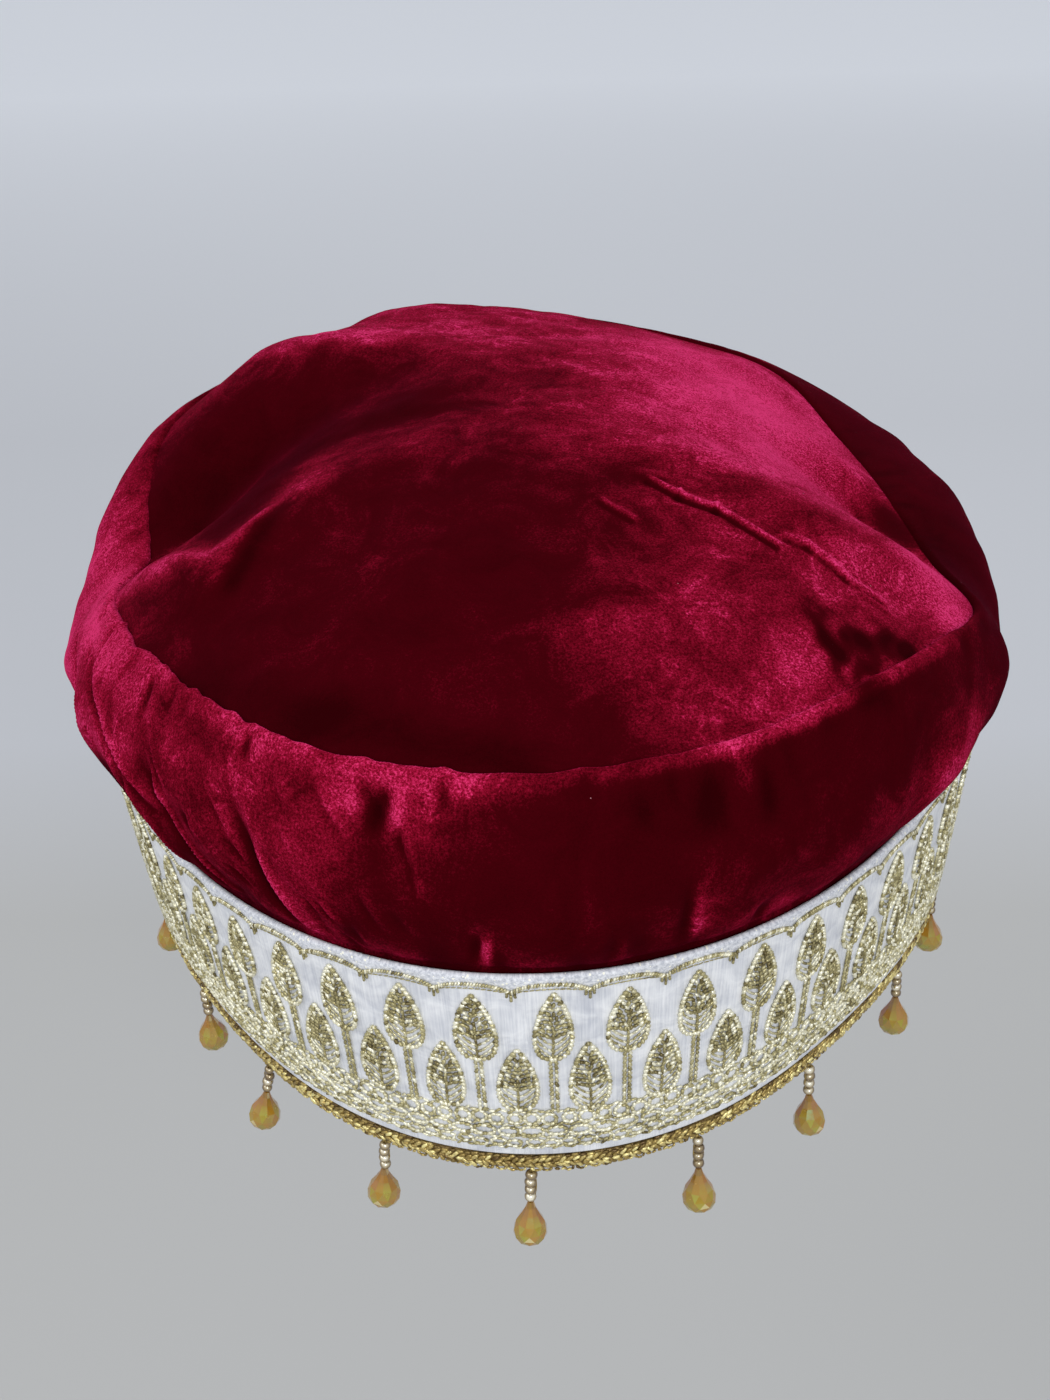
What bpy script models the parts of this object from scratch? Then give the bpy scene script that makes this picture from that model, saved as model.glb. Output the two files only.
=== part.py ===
"""A soft velvet cap: a domed tip, a bulging side panel, an embroidered band, a braid and glass drops.

The cap stands as a head holds it. The front is towards -Y and +Z is up. The origin is the middle of
the head opening, level with the band's lower edge. Angles go round from the front towards +X.
Sizes below are in millimetres and become metres where a mesh is made.
"""
import math

import bpy

MM = 0.001
COLLECTION_NAME = "velvet_cap"

# Sheets of cloth and how finely they are divided
SEGMENTS = 80
SHARP_ANGLE = 35.0
VELVET_THICKNESS = 2.0
BAND_THICKNESS = 1.6
PIECE_GAP = 0.35

# The band: the plan is an oval, flattened at the temples, that widens upwards
HALF_WIDTH = 88.7
HALF_DEPTH = 101.3
TEMPLE_FLATNESS = 0.028
FLARE_PER_MM = 0.00128
BAND_TOP = 46.2
BAND_ROWS = 2

# The side panel starts inside the band, rises just past its top edge and then bulges
TUCK_DEPTH = 8.0
TUCK_ROWS = 2
BULGE_CLEARANCE = 0.5
BULGE_ROWS = 11

# The tip: a dome that a head holds up
TIP_HEIGHT = 110.0
TIP_ROWS = 11
TIP_DROP = 0.8
FOLD_FADE = 7.0

# One row for each section round the cap: the angle in degrees, the height of the band's lower edge,
# the fullest point of the side panel, and the seam where side panel and tip meet
SECTION_COLUMNS = ("angle", "rim_height", "belly_radius", "belly_height", "seam_radius", "seam_height")
SECTIONS = (
    (-160, 1.0, 115, 76, 109, 95),
    (-140, 2.0, 113, 76, 102, 93),
    (-120, 3.0, 109, 74, 101, 89),
    (-104, 4.0, 106, 68, 93, 82),
    (-90, 4.0, 104, 59, 87, 76),
    (-77, 4.0, 102, 60, 92, 77),
    (-60, 2.0, 103, 61, 92, 80),
    (-40, 0.0, 105, 60, 96, 82),
    (-20, -1.5, 109, 60, 103, 83),
    (0, -2.0, 112, 60, 103, 82),
    (20, -1.5, 110, 60, 102, 83),
    (40, 0.0, 104, 60, 99, 84),
    (55, 0.0, 102, 60, 97, 81),
    (69, 0.0, 102, 61, 97, 77),
    (82, 0.5, 100, 64, 86, 78),
    (100, 1.0, 101, 71, 80, 82),
    (122, 1.0, 104, 72, 83, 85),
    (142, 1.0, 108, 73, 93, 89),
    (160, 0.5, 111, 74, 101, 90),
    (180, 0.0, 114, 76, 106, 93),
)

# Folds across the tip: three points of the fold line, from the edge to where the fold dies away, its
# width and its height (a valley is negative)
TIP_FOLD_COLUMNS = ("x0", "y0", "x1", "y1", "x2", "y2", "width", "height")
TIP_FOLDS = (
    (-90, -22, -64, -41, -12, -8, 9, 5.5),
    (-90, 0, -62, 18, -20, 28, 13, -10),
    (-80, 66, -46, 44, 0, 18, 13, 4),
    (90, -33, 62, -36, 8, -12, 9, 4),
    (84, -8, 70, 4, 44, 12, 10, -7),
)

# Folds down the side panel: the angle at the band and at the seam, where the fold starts and ends as
# a share of the way up, its half width in degrees and its depth (a raised fold is negative)
SIDE_FOLD_COLUMNS = ("angle_low", "angle_high", "start", "end", "half_width", "depth")
SIDE_FOLDS = (
    (-63, -84, 0.03, 0.80, 5.0, 7.0),
    (-31, -50, 0.00, 0.80, 4.5, 4.0),
    (-22, -32, 0.00, 0.85, 4.5, 3.5),
    (-5, -3, 0.00, 0.35, 5.0, 3.5),
    (14, 12, 0.00, 0.35, 5.0, 3.5),
    (27, 24, 0.00, 0.40, 5.0, 3.5),
    (-14, -13, 0.55, 1.00, 4.5, 3.0),
    (62, 72, 0.30, 0.90, 5.0, -2.5),
    (118, 110, 0.10, 0.70, 6.0, 3.0),
    (150, 146, 0.05, 0.60, 5.0, 3.0),
    (-172, -168, 0.05, 0.60, 5.0, 3.0),
    (-132, -128, 0.10, 0.65, 5.0, 3.5),
)

# The braid, the seed strands and the glass drops that hang below it
BRAID_WIDTH = 2.4
BRAID_HEIGHT = 4.2
BRAID_INSET = 1.1
BRAID_CORNER = 0.5
MEASURING_STEPS = 720
DROP_COUNT = 18
STRAND_LENGTH = 7.0
STRAND_RADIUS = 0.95
STRAND_BEVEL_RESOLUTION = 1
DROP_SIDES = 10
# From the top down: the drop's outline as height below its top and radius
DROP_OUTLINE_COLUMNS = ("below_top", "radius")
DROP_OUTLINE = ((0.0, 0.6), (3.6, 2.5), (6.9, 3.5), (9.2, 2.2), (10.0, 0.7))
# Drops that have swung from their even places: the drop's number counted from the front towards +X,
# how far it sits along the braid, and how far its tip leans along and out from the braid
DROP_SWING_COLUMNS = ("number", "shift", "lean_along", "lean_out")
DROP_SWINGS = (
    (0, -1.1, -0.8, 1.5),
    (1, -0.3, -0.5, 2.2),
    (2, -3.4, 0.3, 0.8),
    (3, 0.9, 0.8, -0.5),
    (15, 5.2, -1.6, -1.2),
    (16, 0.9, -3.2, 1.0),
    (17, 0.8, -1.8, -0.6),
)


def rows(columns, table):
    """Turn a table into dictionaries, one for each row."""
    return [dict(zip(columns, row)) for row in table]


def section_value(column, angle):
    """Read a column of the section table at any angle, as a smooth curve that closes on itself."""
    table = rows(SECTION_COLUMNS, SECTIONS)
    count = len(table)
    start = table[0]["angle"]
    angle = start + (angle - start) % 360.0
    index = max(i for i in range(count) if table[i]["angle"] <= angle)

    def point(i):
        turn, inside = divmod(i, count)
        return table[inside]["angle"] + 360.0 * turn, table[inside][column]

    (a0, v0), (a1, v1), (a2, v2), (a3, v3) = (point(index + step) for step in (-1, 0, 1, 2))
    t = (angle - a1) / (a2 - a1)
    slope_1 = (v2 - v0) / (a2 - a0) * (a2 - a1)
    slope_2 = (v3 - v1) / (a3 - a1) * (a2 - a1)
    return (
        (2 * t**3 - 3 * t**2 + 1) * v1
        + (t**3 - 2 * t**2 + t) * slope_1
        + (3 * t**2 - 2 * t**3) * v2
        + (t**3 - t**2) * slope_2
    )


def band_radius(angle, height):
    """Outer radius of the band at an angle and a height."""
    turn = math.radians(angle)
    oval = HALF_WIDTH * HALF_DEPTH / math.hypot(HALF_DEPTH * math.sin(turn), HALF_WIDTH * math.cos(turn))
    flatness = TEMPLE_FLATNESS * min(1.0, 1 + math.cos(turn))
    return oval * (1 + flatness * math.cos(4 * turn)) * (1 + FLARE_PER_MM * height)


def polar(angle, radius, height):
    """A point from its angle round the cap, radius and height."""
    turn = math.radians(angle)
    return (radius * math.sin(turn), -radius * math.cos(turn), height)


def angles():
    """The angles that every ring of every sheet shares, so that the gaps between them stay even."""
    return [360.0 * i / SEGMENTS for i in range(SEGMENTS)]


def bulge_section(angle):
    """The three points of the side panel's curve, which passes its belly halfway."""
    start = (band_radius(angle, BAND_TOP) - BAND_THICKNESS - PIECE_GAP, BAND_TOP + BULGE_CLEARANCE)
    belly = (section_value("belly_radius", angle), section_value("belly_height", angle))
    seam = (section_value("seam_radius", angle), section_value("seam_height", angle))
    pull = tuple(2 * b - (s + e) / 2 for s, b, e in zip(start, belly, seam))
    return start, pull, seam


def side_fold_depth(angle, share):
    """How far the folds draw the side panel in at a share of the way up."""
    depth = 0.0
    for fold in rows(SIDE_FOLD_COLUMNS, SIDE_FOLDS):
        if not fold["start"] < share < fold["end"]:
            continue
        middle = fold["angle_low"] + (fold["angle_high"] - fold["angle_low"]) * share
        across = (angle - middle + 180) % 360 - 180
        along = (share - fold["start"]) / (fold["end"] - fold["start"])
        depth += fold["depth"] * math.exp(-((across / fold["half_width"]) ** 2)) * math.sin(math.pi * along)
    return depth


def side_point(angle, share):
    """A point of the side panel's outer face, from the band's top edge to the seam."""
    start, pull, seam = bulge_section(angle)
    weights = ((1 - share) ** 2, 2 * share * (1 - share), share**2)
    radius, height = (sum(w * p[k] for w, p in zip(weights, (start, pull, seam))) for k in (0, 1))
    return polar(angle, radius - side_fold_depth(angle, share), height)


def tip_edge(angle):
    """The tip's edge, just inside the side panel's top edge."""
    _, pull, seam = bulge_section(angle)
    run, rise = seam[0] - pull[0], seam[1] - pull[1]
    length = math.hypot(run, rise)
    radius = seam[0] - VELVET_THICKNESS * rise / length - PIECE_GAP
    return polar(angle, radius, seam[1] - TIP_DROP)


def nearest_on_line(x, y, x0, y0, x1, y1):
    """Distance from a point to a straight stretch of a fold line, and how far along it that is."""
    run, rise = x1 - x0, y1 - y0
    share = min(max(((x - x0) * run + (y - y0) * rise) / (run**2 + rise**2), 0.0), 1.0)
    return math.hypot(x - x0 - share * run, y - y0 - share * rise), share


def tip_fold_height(x, y):
    """How far the folds raise or sink the tip at a place."""
    height = 0.0
    for fold in rows(TIP_FOLD_COLUMNS, TIP_FOLDS):
        outer, _ = nearest_on_line(x, y, fold["x0"], fold["y0"], fold["x1"], fold["y1"])
        inner, share = nearest_on_line(x, y, fold["x1"], fold["y1"], fold["x2"], fold["y2"])
        strength = 1.0 if outer < inner else 1 - share
        height += fold["height"] * strength * math.exp(-((min(outer, inner) / fold["width"]) ** 2))
    return height


def tip_point(angle, share):
    """A point of the tip's outer face, from its middle to its edge."""
    edge_x, edge_y, edge_z = tip_edge(angle)
    x, y = edge_x * share, edge_y * share
    dome = edge_z * share**2 + TIP_HEIGHT * (1 - share**2)
    fade = min((1 - share) * FOLD_FADE, 1.0)
    return (x, y, dome + tip_fold_height(x, y) * fade)


def material(name, colour, roughness, metallic=0.0):
    """A plain finish."""
    finish = bpy.data.materials.new(name)
    finish.use_nodes = True
    shader = finish.node_tree.nodes["Principled BSDF"]
    shader.inputs["Base Color"].default_value = (*colour, 1.0)
    shader.inputs["Roughness"].default_value = roughness
    shader.inputs["Metallic"].default_value = metallic
    return finish


def add_object(name, mesh, finish, collection):
    """Link a mesh as a named, smooth-shaded object with its finish."""
    piece = bpy.data.objects.new(name, mesh)
    mesh.materials.append(finish)
    mesh.shade_smooth()
    mesh.set_sharp_from_angle(angle=math.radians(SHARP_ANGLE))
    collection.objects.link(piece)
    return piece


def loft(name, rings, cap_middle=None, close=False):
    """A sheet through closed rings of points, each listed anticlockwise seen from above.

    The rings run from the bottom or the edge to the top or the middle, so the faces point outwards.
    """
    points = [point for ring in rings for point in ring]
    count = len(rings[0])
    faces = []
    steps = len(rings) if close else len(rings) - 1
    for row in range(steps):
        low, high = row * count, (row + 1) % len(rings) * count
        for i in range(count):
            j = (i + 1) % count
            faces.append((low + i, low + j, high + j, high + i))
    if cap_middle is not None:
        points.append(cap_middle)
        last = (len(rings) - 1) * count
        faces += [(last + i, last + (i + 1) % count, len(points) - 1) for i in range(count)]
    mesh = bpy.data.meshes.new(name)
    mesh.from_pydata([tuple(c * MM for c in point) for point in points], [], faces)
    mesh.validate()
    return mesh


def thicken(piece, thickness):
    """Give a sheet its wall, inwards from its outer face."""
    wall = piece.modifiers.new("wall", "SOLIDIFY")
    wall.thickness = thickness * MM
    wall.offset = -1.0


def make_trim_band(finish, collection):
    """The straight-sided band round the head."""
    rings = []
    for row in range(BAND_ROWS + 1):
        share = row / BAND_ROWS
        ring = []
        for angle in angles():
            rim = section_value("rim_height", angle)
            height = rim + (BAND_TOP - rim) * share
            ring.append(polar(angle, band_radius(angle, height), height))
        rings.append(ring)
    band = add_object("trim_band", loft("trim_band", rings), finish, collection)
    thicken(band, BAND_THICKNESS)


def make_side_panel(finish, collection):
    """The side panel, tucked inside the band and bulging up to the seam."""
    rings = []
    for row in range(TUCK_ROWS):
        height = BAND_TOP - TUCK_DEPTH * (1 - row / TUCK_ROWS)
        inset = BAND_THICKNESS + PIECE_GAP
        rings.append([polar(angle, band_radius(angle, height) - inset, height) for angle in angles()])
    for row in range(BULGE_ROWS + 1):
        rings.append([side_point(angle, row / BULGE_ROWS) for angle in angles()])
    panel = add_object("side_panel", loft("side_panel", rings), finish, collection)
    thicken(panel, VELVET_THICKNESS)


def make_crown_tip(finish, collection):
    """The tip, from its edge inside the seam to the middle of the dome."""
    shares = [1 - row / TIP_ROWS for row in range(TIP_ROWS)]
    rings = [[tip_point(angle, share) for angle in angles()] for share in shares]
    middle = (0.0, 0.0, TIP_HEIGHT + tip_fold_height(0.0, 0.0))
    tip = add_object("crown_tip", loft("crown_tip", rings, middle), finish, collection)
    thicken(tip, VELVET_THICKNESS)


def braid_middle(angle):
    """The middle of the braid's section: its radius and height."""
    rim = section_value("rim_height", angle)
    return band_radius(angle, rim) - BRAID_INSET, rim - PIECE_GAP - BRAID_HEIGHT / 2


def make_edge_braid(finish, collection):
    """The braid, a rounded ring under the band's lower edge."""
    half_width, half_height = BRAID_WIDTH / 2, BRAID_HEIGHT / 2
    section = (
        (half_width, -half_height * BRAID_CORNER),
        (half_width, half_height * BRAID_CORNER),
        (half_width * BRAID_CORNER, half_height),
        (-half_width * BRAID_CORNER, half_height),
        (-half_width, 0.0),
        (-half_width * BRAID_CORNER, -half_height),
        (half_width * BRAID_CORNER, -half_height),
    )
    rings = []
    for out, up in section:
        ring = []
        for angle in angles():
            radius, height = braid_middle(angle)
            ring.append(polar(angle, radius + out, height + up))
        rings.append(ring)
    add_object("edge_braid", loft("edge_braid", rings, close=True), finish, collection)


def braid_bottom_at(length):
    """The place under the braid at a length along it from the front, with the angle there."""
    turned = 0.0
    walked = 0.0
    previous = polar(0.0, *braid_middle(0.0))
    while walked < length:
        turned += 360.0 / MEASURING_STEPS
        point = polar(turned, *braid_middle(turned))
        walked += math.dist(point, previous)
        previous = point
    radius, height = braid_middle(turned)
    return polar(turned, radius, height - BRAID_HEIGHT / 2), turned


def braid_length():
    """The length round the braid's middle line."""
    turns = [360.0 * i / MEASURING_STEPS for i in range(MEASURING_STEPS + 1)]
    line = [polar(turn, *braid_middle(turn)) for turn in turns]
    return sum(math.dist(a, b) for a, b in zip(line, line[1:]))


def hanging_direction(angle, lean_along, lean_out):
    """The unit direction in which a leaning drop hangs."""
    turn = math.radians(angle)
    x = lean_along * math.cos(turn) + lean_out * math.sin(turn)
    y = lean_along * math.sin(turn) - lean_out * math.cos(turn)
    reach = STRAND_LENGTH + DROP_OUTLINE[-1][0]
    length = math.hypot(x, y, reach)
    return (x / length, y / length, -reach / length)


def along(point, direction, distance):
    """A point moved along a direction."""
    return tuple(p + d * distance for p, d in zip(point, direction))


def make_strand(name, top, bottom, finish, collection):
    """The strand that carries one drop, as a plain thick thread."""
    curve = bpy.data.curves.new(name, "CURVE")
    curve.dimensions = "3D"
    curve.bevel_depth = STRAND_RADIUS * MM
    curve.bevel_resolution = STRAND_BEVEL_RESOLUTION
    curve.use_fill_caps = True
    line = curve.splines.new("POLY")
    line.points.add(1)
    for knot, point in zip(line.points, (top, bottom)):
        knot.co = (*(c * MM for c in point), 1.0)
    curve.materials.append(finish)
    collection.objects.link(bpy.data.objects.new(name, curve))


def make_drop(name, top, direction, finish, collection):
    """One faceted drop, turned from its outline and cut to flat sides."""
    outline = [(0.0, 0.0)] + [(radius, -below) for below, radius in DROP_OUTLINE]
    outline.append((0.0, -DROP_OUTLINE[-1][0]))
    mesh = bpy.data.meshes.new(name)
    points = [(radius * MM, 0.0, height * MM) for radius, height in outline]
    mesh.from_pydata(points, [(i, i + 1) for i in range(len(points) - 1)], [])
    mesh.materials.append(finish)
    drop = bpy.data.objects.new(name, mesh)
    turning = drop.modifiers.new("turning", "SCREW")
    turning.steps = DROP_SIDES
    turning.render_steps = DROP_SIDES
    turning.use_merge_vertices = True
    turning.merge_threshold = 0.00001
    turning.use_smooth_shade = False
    drop.location = [c * MM for c in top]
    drop.rotation_mode = "QUATERNION"
    drop.rotation_quaternion = quaternion_down_to(direction)
    collection.objects.link(drop)


def quaternion_down_to(direction):
    """The turn that takes straight down to a direction."""
    x, y, z = direction
    axis = (y, -x, 0.0)
    turn = (1.0 - z, *axis)
    length = math.hypot(*turn)
    return tuple(t / length for t in turn)


def make_drops(strand_finish, glass_finish, collection):
    """Eighteen strands and drops, evenly round the braid apart from their swings."""
    swings = {swing["number"]: swing for swing in rows(DROP_SWING_COLUMNS, DROP_SWINGS)}
    still = {"shift": 0.0, "lean_along": 0.0, "lean_out": 0.0}
    round_length = braid_length()
    for number in range(DROP_COUNT):
        swing = swings.get(number, still)
        length = (round_length * number / DROP_COUNT + swing["shift"]) % round_length
        place, angle = braid_bottom_at(length)
        direction = hanging_direction(angle, swing["lean_along"], swing["lean_out"])
        top = along(place, (0.0, 0.0, -1.0), PIECE_GAP)
        bottom = along(top, direction, STRAND_LENGTH)
        make_strand(f"seed_strand_{number + 1:02d}", top, bottom, strand_finish, collection)
        drop_top = along(bottom, direction, PIECE_GAP)
        make_drop(f"drop_bead_{number + 1:02d}", drop_top, direction, glass_finish, collection)


def main():
    """Empty the scene and build the cap."""
    for old in list(bpy.data.objects):
        bpy.data.objects.remove(old)
    collection = bpy.data.collections.new(COLLECTION_NAME)
    bpy.context.scene.collection.children.link(collection)
    velvet = material("crimson_velvet", (0.22, 0.004, 0.025), 0.85)
    side_velvet = material("side_velvet", (0.25, 0.006, 0.035), 0.85)
    satin = material("white_satin", (0.72, 0.72, 0.78), 0.5)
    braid = material("gold_braid", (0.45, 0.26, 0.07), 0.4, 0.8)
    seed = material("pearl_seed", (0.75, 0.6, 0.4), 0.3, 0.3)
    glass = material("amber_glass", (0.85, 0.45, 0.08), 0.1)
    make_crown_tip(velvet, collection)
    make_side_panel(side_velvet, collection)
    make_trim_band(satin, collection)
    make_edge_braid(braid, collection)
    make_drops(seed, glass, collection)


main()
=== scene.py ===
"""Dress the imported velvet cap: crushed velvet, embroidered satin, gold gimp and glass drops.

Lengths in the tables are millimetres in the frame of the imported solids: the front is towards -Y, +Z is
up, and angles go round from the front towards +X. Meshes are made in metres.
"""

import logging
import math
from dataclasses import dataclass, field, replace
from enum import Enum

import bpy
import numpy as np
from mathutils import Matrix, Vector


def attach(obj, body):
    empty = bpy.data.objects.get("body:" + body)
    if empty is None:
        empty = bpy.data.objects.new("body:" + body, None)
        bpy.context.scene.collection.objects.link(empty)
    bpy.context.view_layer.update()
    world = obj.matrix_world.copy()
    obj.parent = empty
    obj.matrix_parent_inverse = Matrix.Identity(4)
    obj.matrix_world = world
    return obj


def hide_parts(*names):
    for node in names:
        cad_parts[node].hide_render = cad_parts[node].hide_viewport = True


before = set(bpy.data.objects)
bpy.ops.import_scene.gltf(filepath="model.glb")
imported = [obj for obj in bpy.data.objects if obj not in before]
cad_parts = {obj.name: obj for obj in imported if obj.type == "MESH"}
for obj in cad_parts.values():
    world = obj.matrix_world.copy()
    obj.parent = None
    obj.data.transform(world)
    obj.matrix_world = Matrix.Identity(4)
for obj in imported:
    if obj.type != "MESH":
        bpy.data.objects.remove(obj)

LOG = logging.getLogger("velvet_cap")
MM = 0.001
BODY = "root"
Array = np.ndarray
Material = bpy.types.Material
Mesh = bpy.types.Mesh
Node = bpy.types.Node
NodeTree = bpy.types.NodeTree
Piece = bpy.types.Object
Socket = bpy.types.NodeSocket
Sockets = bpy.types.bpy_prop_collection

# Each row is a section round the cap: where it is, the height of the band's lower edge, the fullest
# point of the side panel and the seam where side panel and tip meet
SECTION_COLUMNS = ("angle", "rim_height", "belly_radius", "belly_height", "seam_radius", "seam_height")
SECTIONS = (
    (-160, 1.0, 115, 76, 109, 95),
    (-140, 2.0, 113, 76, 102, 93),
    (-120, 3.0, 109, 74, 101, 89),
    (-104, 4.0, 106, 68, 93, 82),
    (-90, 4.0, 104, 59, 87, 76),
    (-77, 4.0, 102, 60, 92, 77),
    (-60, 2.0, 103, 61, 92, 80),
    (-40, 0.0, 105, 60, 96, 82),
    (-20, -1.5, 109, 60, 103, 83),
    (0, -2.0, 112, 60, 103, 82),
    (20, -1.5, 110, 60, 102, 83),
    (40, 0.0, 104, 60, 99, 84),
    (55, 0.0, 102, 60, 97, 81),
    (69, 0.0, 101, 61, 97, 77),
    (82, 0.5, 99, 64, 86, 77),
    (100, 1.0, 99, 71, 80, 79.8),
    (122, 1.0, 104, 72, 83, 83),
    (142, 1.0, 108, 73, 93, 89),
    (160, 0.5, 111, 74, 101, 90),
    (180, 0.0, 114, 76, 106, 93),
)

# How sharply a fold of the side panel sets in at its ends, as a power of a sine
FOLD_ENDS = 1.4

# Folds across the tip: three points of the fold line, from the edge to where it dies away, its width
# and its height (a valley is negative)
TIP_FOLDS = (
    (-90, -22, -64, -41, -12, -8, 9, 5.5),
    (-90, 0, -62, 18, -20, 28, 13, -10),
    (-80, 66, -46, 44, 0, 18, 13, 4),
    (90, -33, 62, -36, 8, -12, 9, 4),
    (84, -8, 70, 4, 44, 12, 10, -7),
)

# Folds down the side panel: angle at the band and at the seam, where the fold starts and ends as a
# share of the way up, half width in degrees, and depth (a raised fold is negative)
SIDE_FOLDS = (
    (-63, -84, 0.03, 0.80, 5.0, 7.0),
    (-31, -50, 0.00, 0.80, 4.5, 2.8),
    (-22, -32, 0.00, 0.85, 4.5, 2.4),
    (-5, -3, -0.05, 0.60, 4.5, 1.8),
    (14, 12, -0.05, 0.60, 4.5, 1.8),
    (27, 24, -0.05, 0.60, 4.5, 1.8),
    (-14, -13, 0.55, 1.00, 4.5, 2.4),
    (62, 72, 0.30, 0.90, 5.0, -0.8),
    (118, 110, 0.10, 0.70, 6.0, 3.0),
    (150, 146, 0.05, 0.60, 5.0, 3.0),
    (-172, -168, 0.05, 0.60, 5.0, 3.0),
    (-132, -128, 0.10, 0.65, 5.0, 3.5),
)

# Narrow creases of the side panel that the solids are too coarse for, in the same columns
SIDE_CREASES = (
    (-15.6, -75.2, 0.40, 0.90, 1.1, 1.3),
    (-12.4, -72.0, 0.42, 0.88, 0.8, -0.9),
    (-32.0, -51.0, 0.02, 0.74, 0.9, 1.9),
    (-30.4, -49.4, 0.02, 0.72, 0.7, -1.4),
    (-36.5, -58.0, 0.10, 0.66, 0.7, -1.1),
    (-38.0, -59.5, 0.08, 0.64, 0.8, 1.2),
    (-22.8, -32.0, 0.00, 0.86, 0.9, 1.8),
    (-21.2, -30.2, 0.00, 0.82, 0.7, -1.4),
    (-18.6, -25.0, 0.00, 0.60, 0.7, 0.7),
    (-4.6, -3.2, 0.00, 0.42, 0.6, 1.1),
    (-3.5, -2.4, 0.00, 0.40, 0.5, -0.9),
    (8.0, 8.5, 0.00, 0.42, 0.7, 0.9),
    (8.9, 9.3, 0.00, 0.36, 0.5, -0.6),
    (15.0, 15.4, 0.00, 0.64, 0.7, 1.0),
    (16.1, 16.3, 0.00, 0.60, 0.5, -0.8),
    (24.0, 23.0, 0.00, 0.32, 0.8, 1.0),
    (-19.0, -12.5, 0.74, 0.98, 0.9, 1.9),
    (-16.8, -10.6, 0.76, 1.00, 0.8, -1.2),
    (-7.0, -7.0, 0.88, 1.03, 0.7, 1.0),
    (-17.5, -15.6, 0.78, 1.02, 0.7, -0.7),
    (-27.0, -29.0, 0.90, 1.04, 0.6, 0.8),
    (-41.0, -43.0, 0.90, 1.04, 0.5, 0.5),
    (-52.0, -54.0, 0.92, 1.04, 0.5, 0.4),
    (-50.0, -57.0, -0.05, 0.60, 7.5, 2.2),
    (-84.0, -86.0, 0.00, 0.62, 6.5, -1.7),
    (53.0, 56.0, 0.00, 0.80, 7.5, -1.6),
    (41.0, 40.0, 0.00, 0.30, 0.8, 0.8),
    (19.0, 18.4, 0.72, 1.00, 1.1, 0.8),
    (24.5, 24.0, 0.70, 0.98, 1.1, 0.8),
)

# Thin raised creases of the tip: both ends in plan, with the shaded side on the right, width and height
TIP_CREASES = (
    (24, -31, 30, -35, 0.75, 0.80),
    (30, -35, 37, -38.5, 0.80, 0.95),
    (37, -38.5, 48, -45, 0.80, 0.90),
    (50, -42, 54, -43, 0.8, 0.50),
    (54, -43, 61, -47.5, 0.75, 0.70),
    (61, -47.5, 68, -49, 0.65, 0.55),
    (64, -50, 69, -51.5, 0.55, 0.40),
    (15, -39, 21, -43.5, 0.70, 0.55),
    (22, -29, 27, -30, 0.9, 0.35),
    (-60, -45, -52, -30, 2.5, 0.60),
)

# Painted light and shade of the tip, partly for how its pile is brushed: places painted brighter (positive)
# or darker, as highlights on ridges and lit pile and as shade in valleys, fold shadows and under the seam's
# roll. Columns: both ends of the place in plan, its radius and its strength
TIP_PAINTED_LIGHT = (
    (42, 6, 44, 44, 33, 0.50),
    (-8, 84, 30, 86, 40, 0.08),
    (60, 34, 62, 10, 13, 0.14),
    (62, -40, 72, -40, 8, 0.08),
    (-50, 78, -16, 56, 24, 0.14),
    (-76, 60, -34, 44, 9, 0.22),
    (-76, 18, -30, 8, 15, -0.14),
    (-60, -18, -52, 0, 10, -0.24),
    (0, -12, 8, 10, 13, -0.05),
    (-20, -18, 14, -10, 12, 0.06),
    (32, -58, 62, -50, 17, 0.26),
    (50, -75, 55, -72, 9, 0.26),
    (14, -74, 46, -80, 10, 0.16),
    (24, -91, 52, -87, 5, 0.16),
    (80, -14, 82, -42, 8, 0.54),
    (56, -12, 68, -26, 10, 0.10),
    (54, -61, 60, -77, 3.0, -0.32),
    (59, -63, 69, -61, 3.2, -0.28),
    (61, -69, 66, -70, 3.8, -0.27),
    (71, -60, 72, -62, 2.2, -0.22),
    (-66, -66, -36, -87, 5, -0.12),
    (-36, -87, 0, -99, 5, -0.16),
    (-87, -22, -62, -37, 4, 0.30),
    (-50, -30, -44, -10, 6, 0.16),
    (-78, 2, -76, -2, 5, 0.12),
    (76, 6, 80, -10, 5, -0.30),
)
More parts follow.
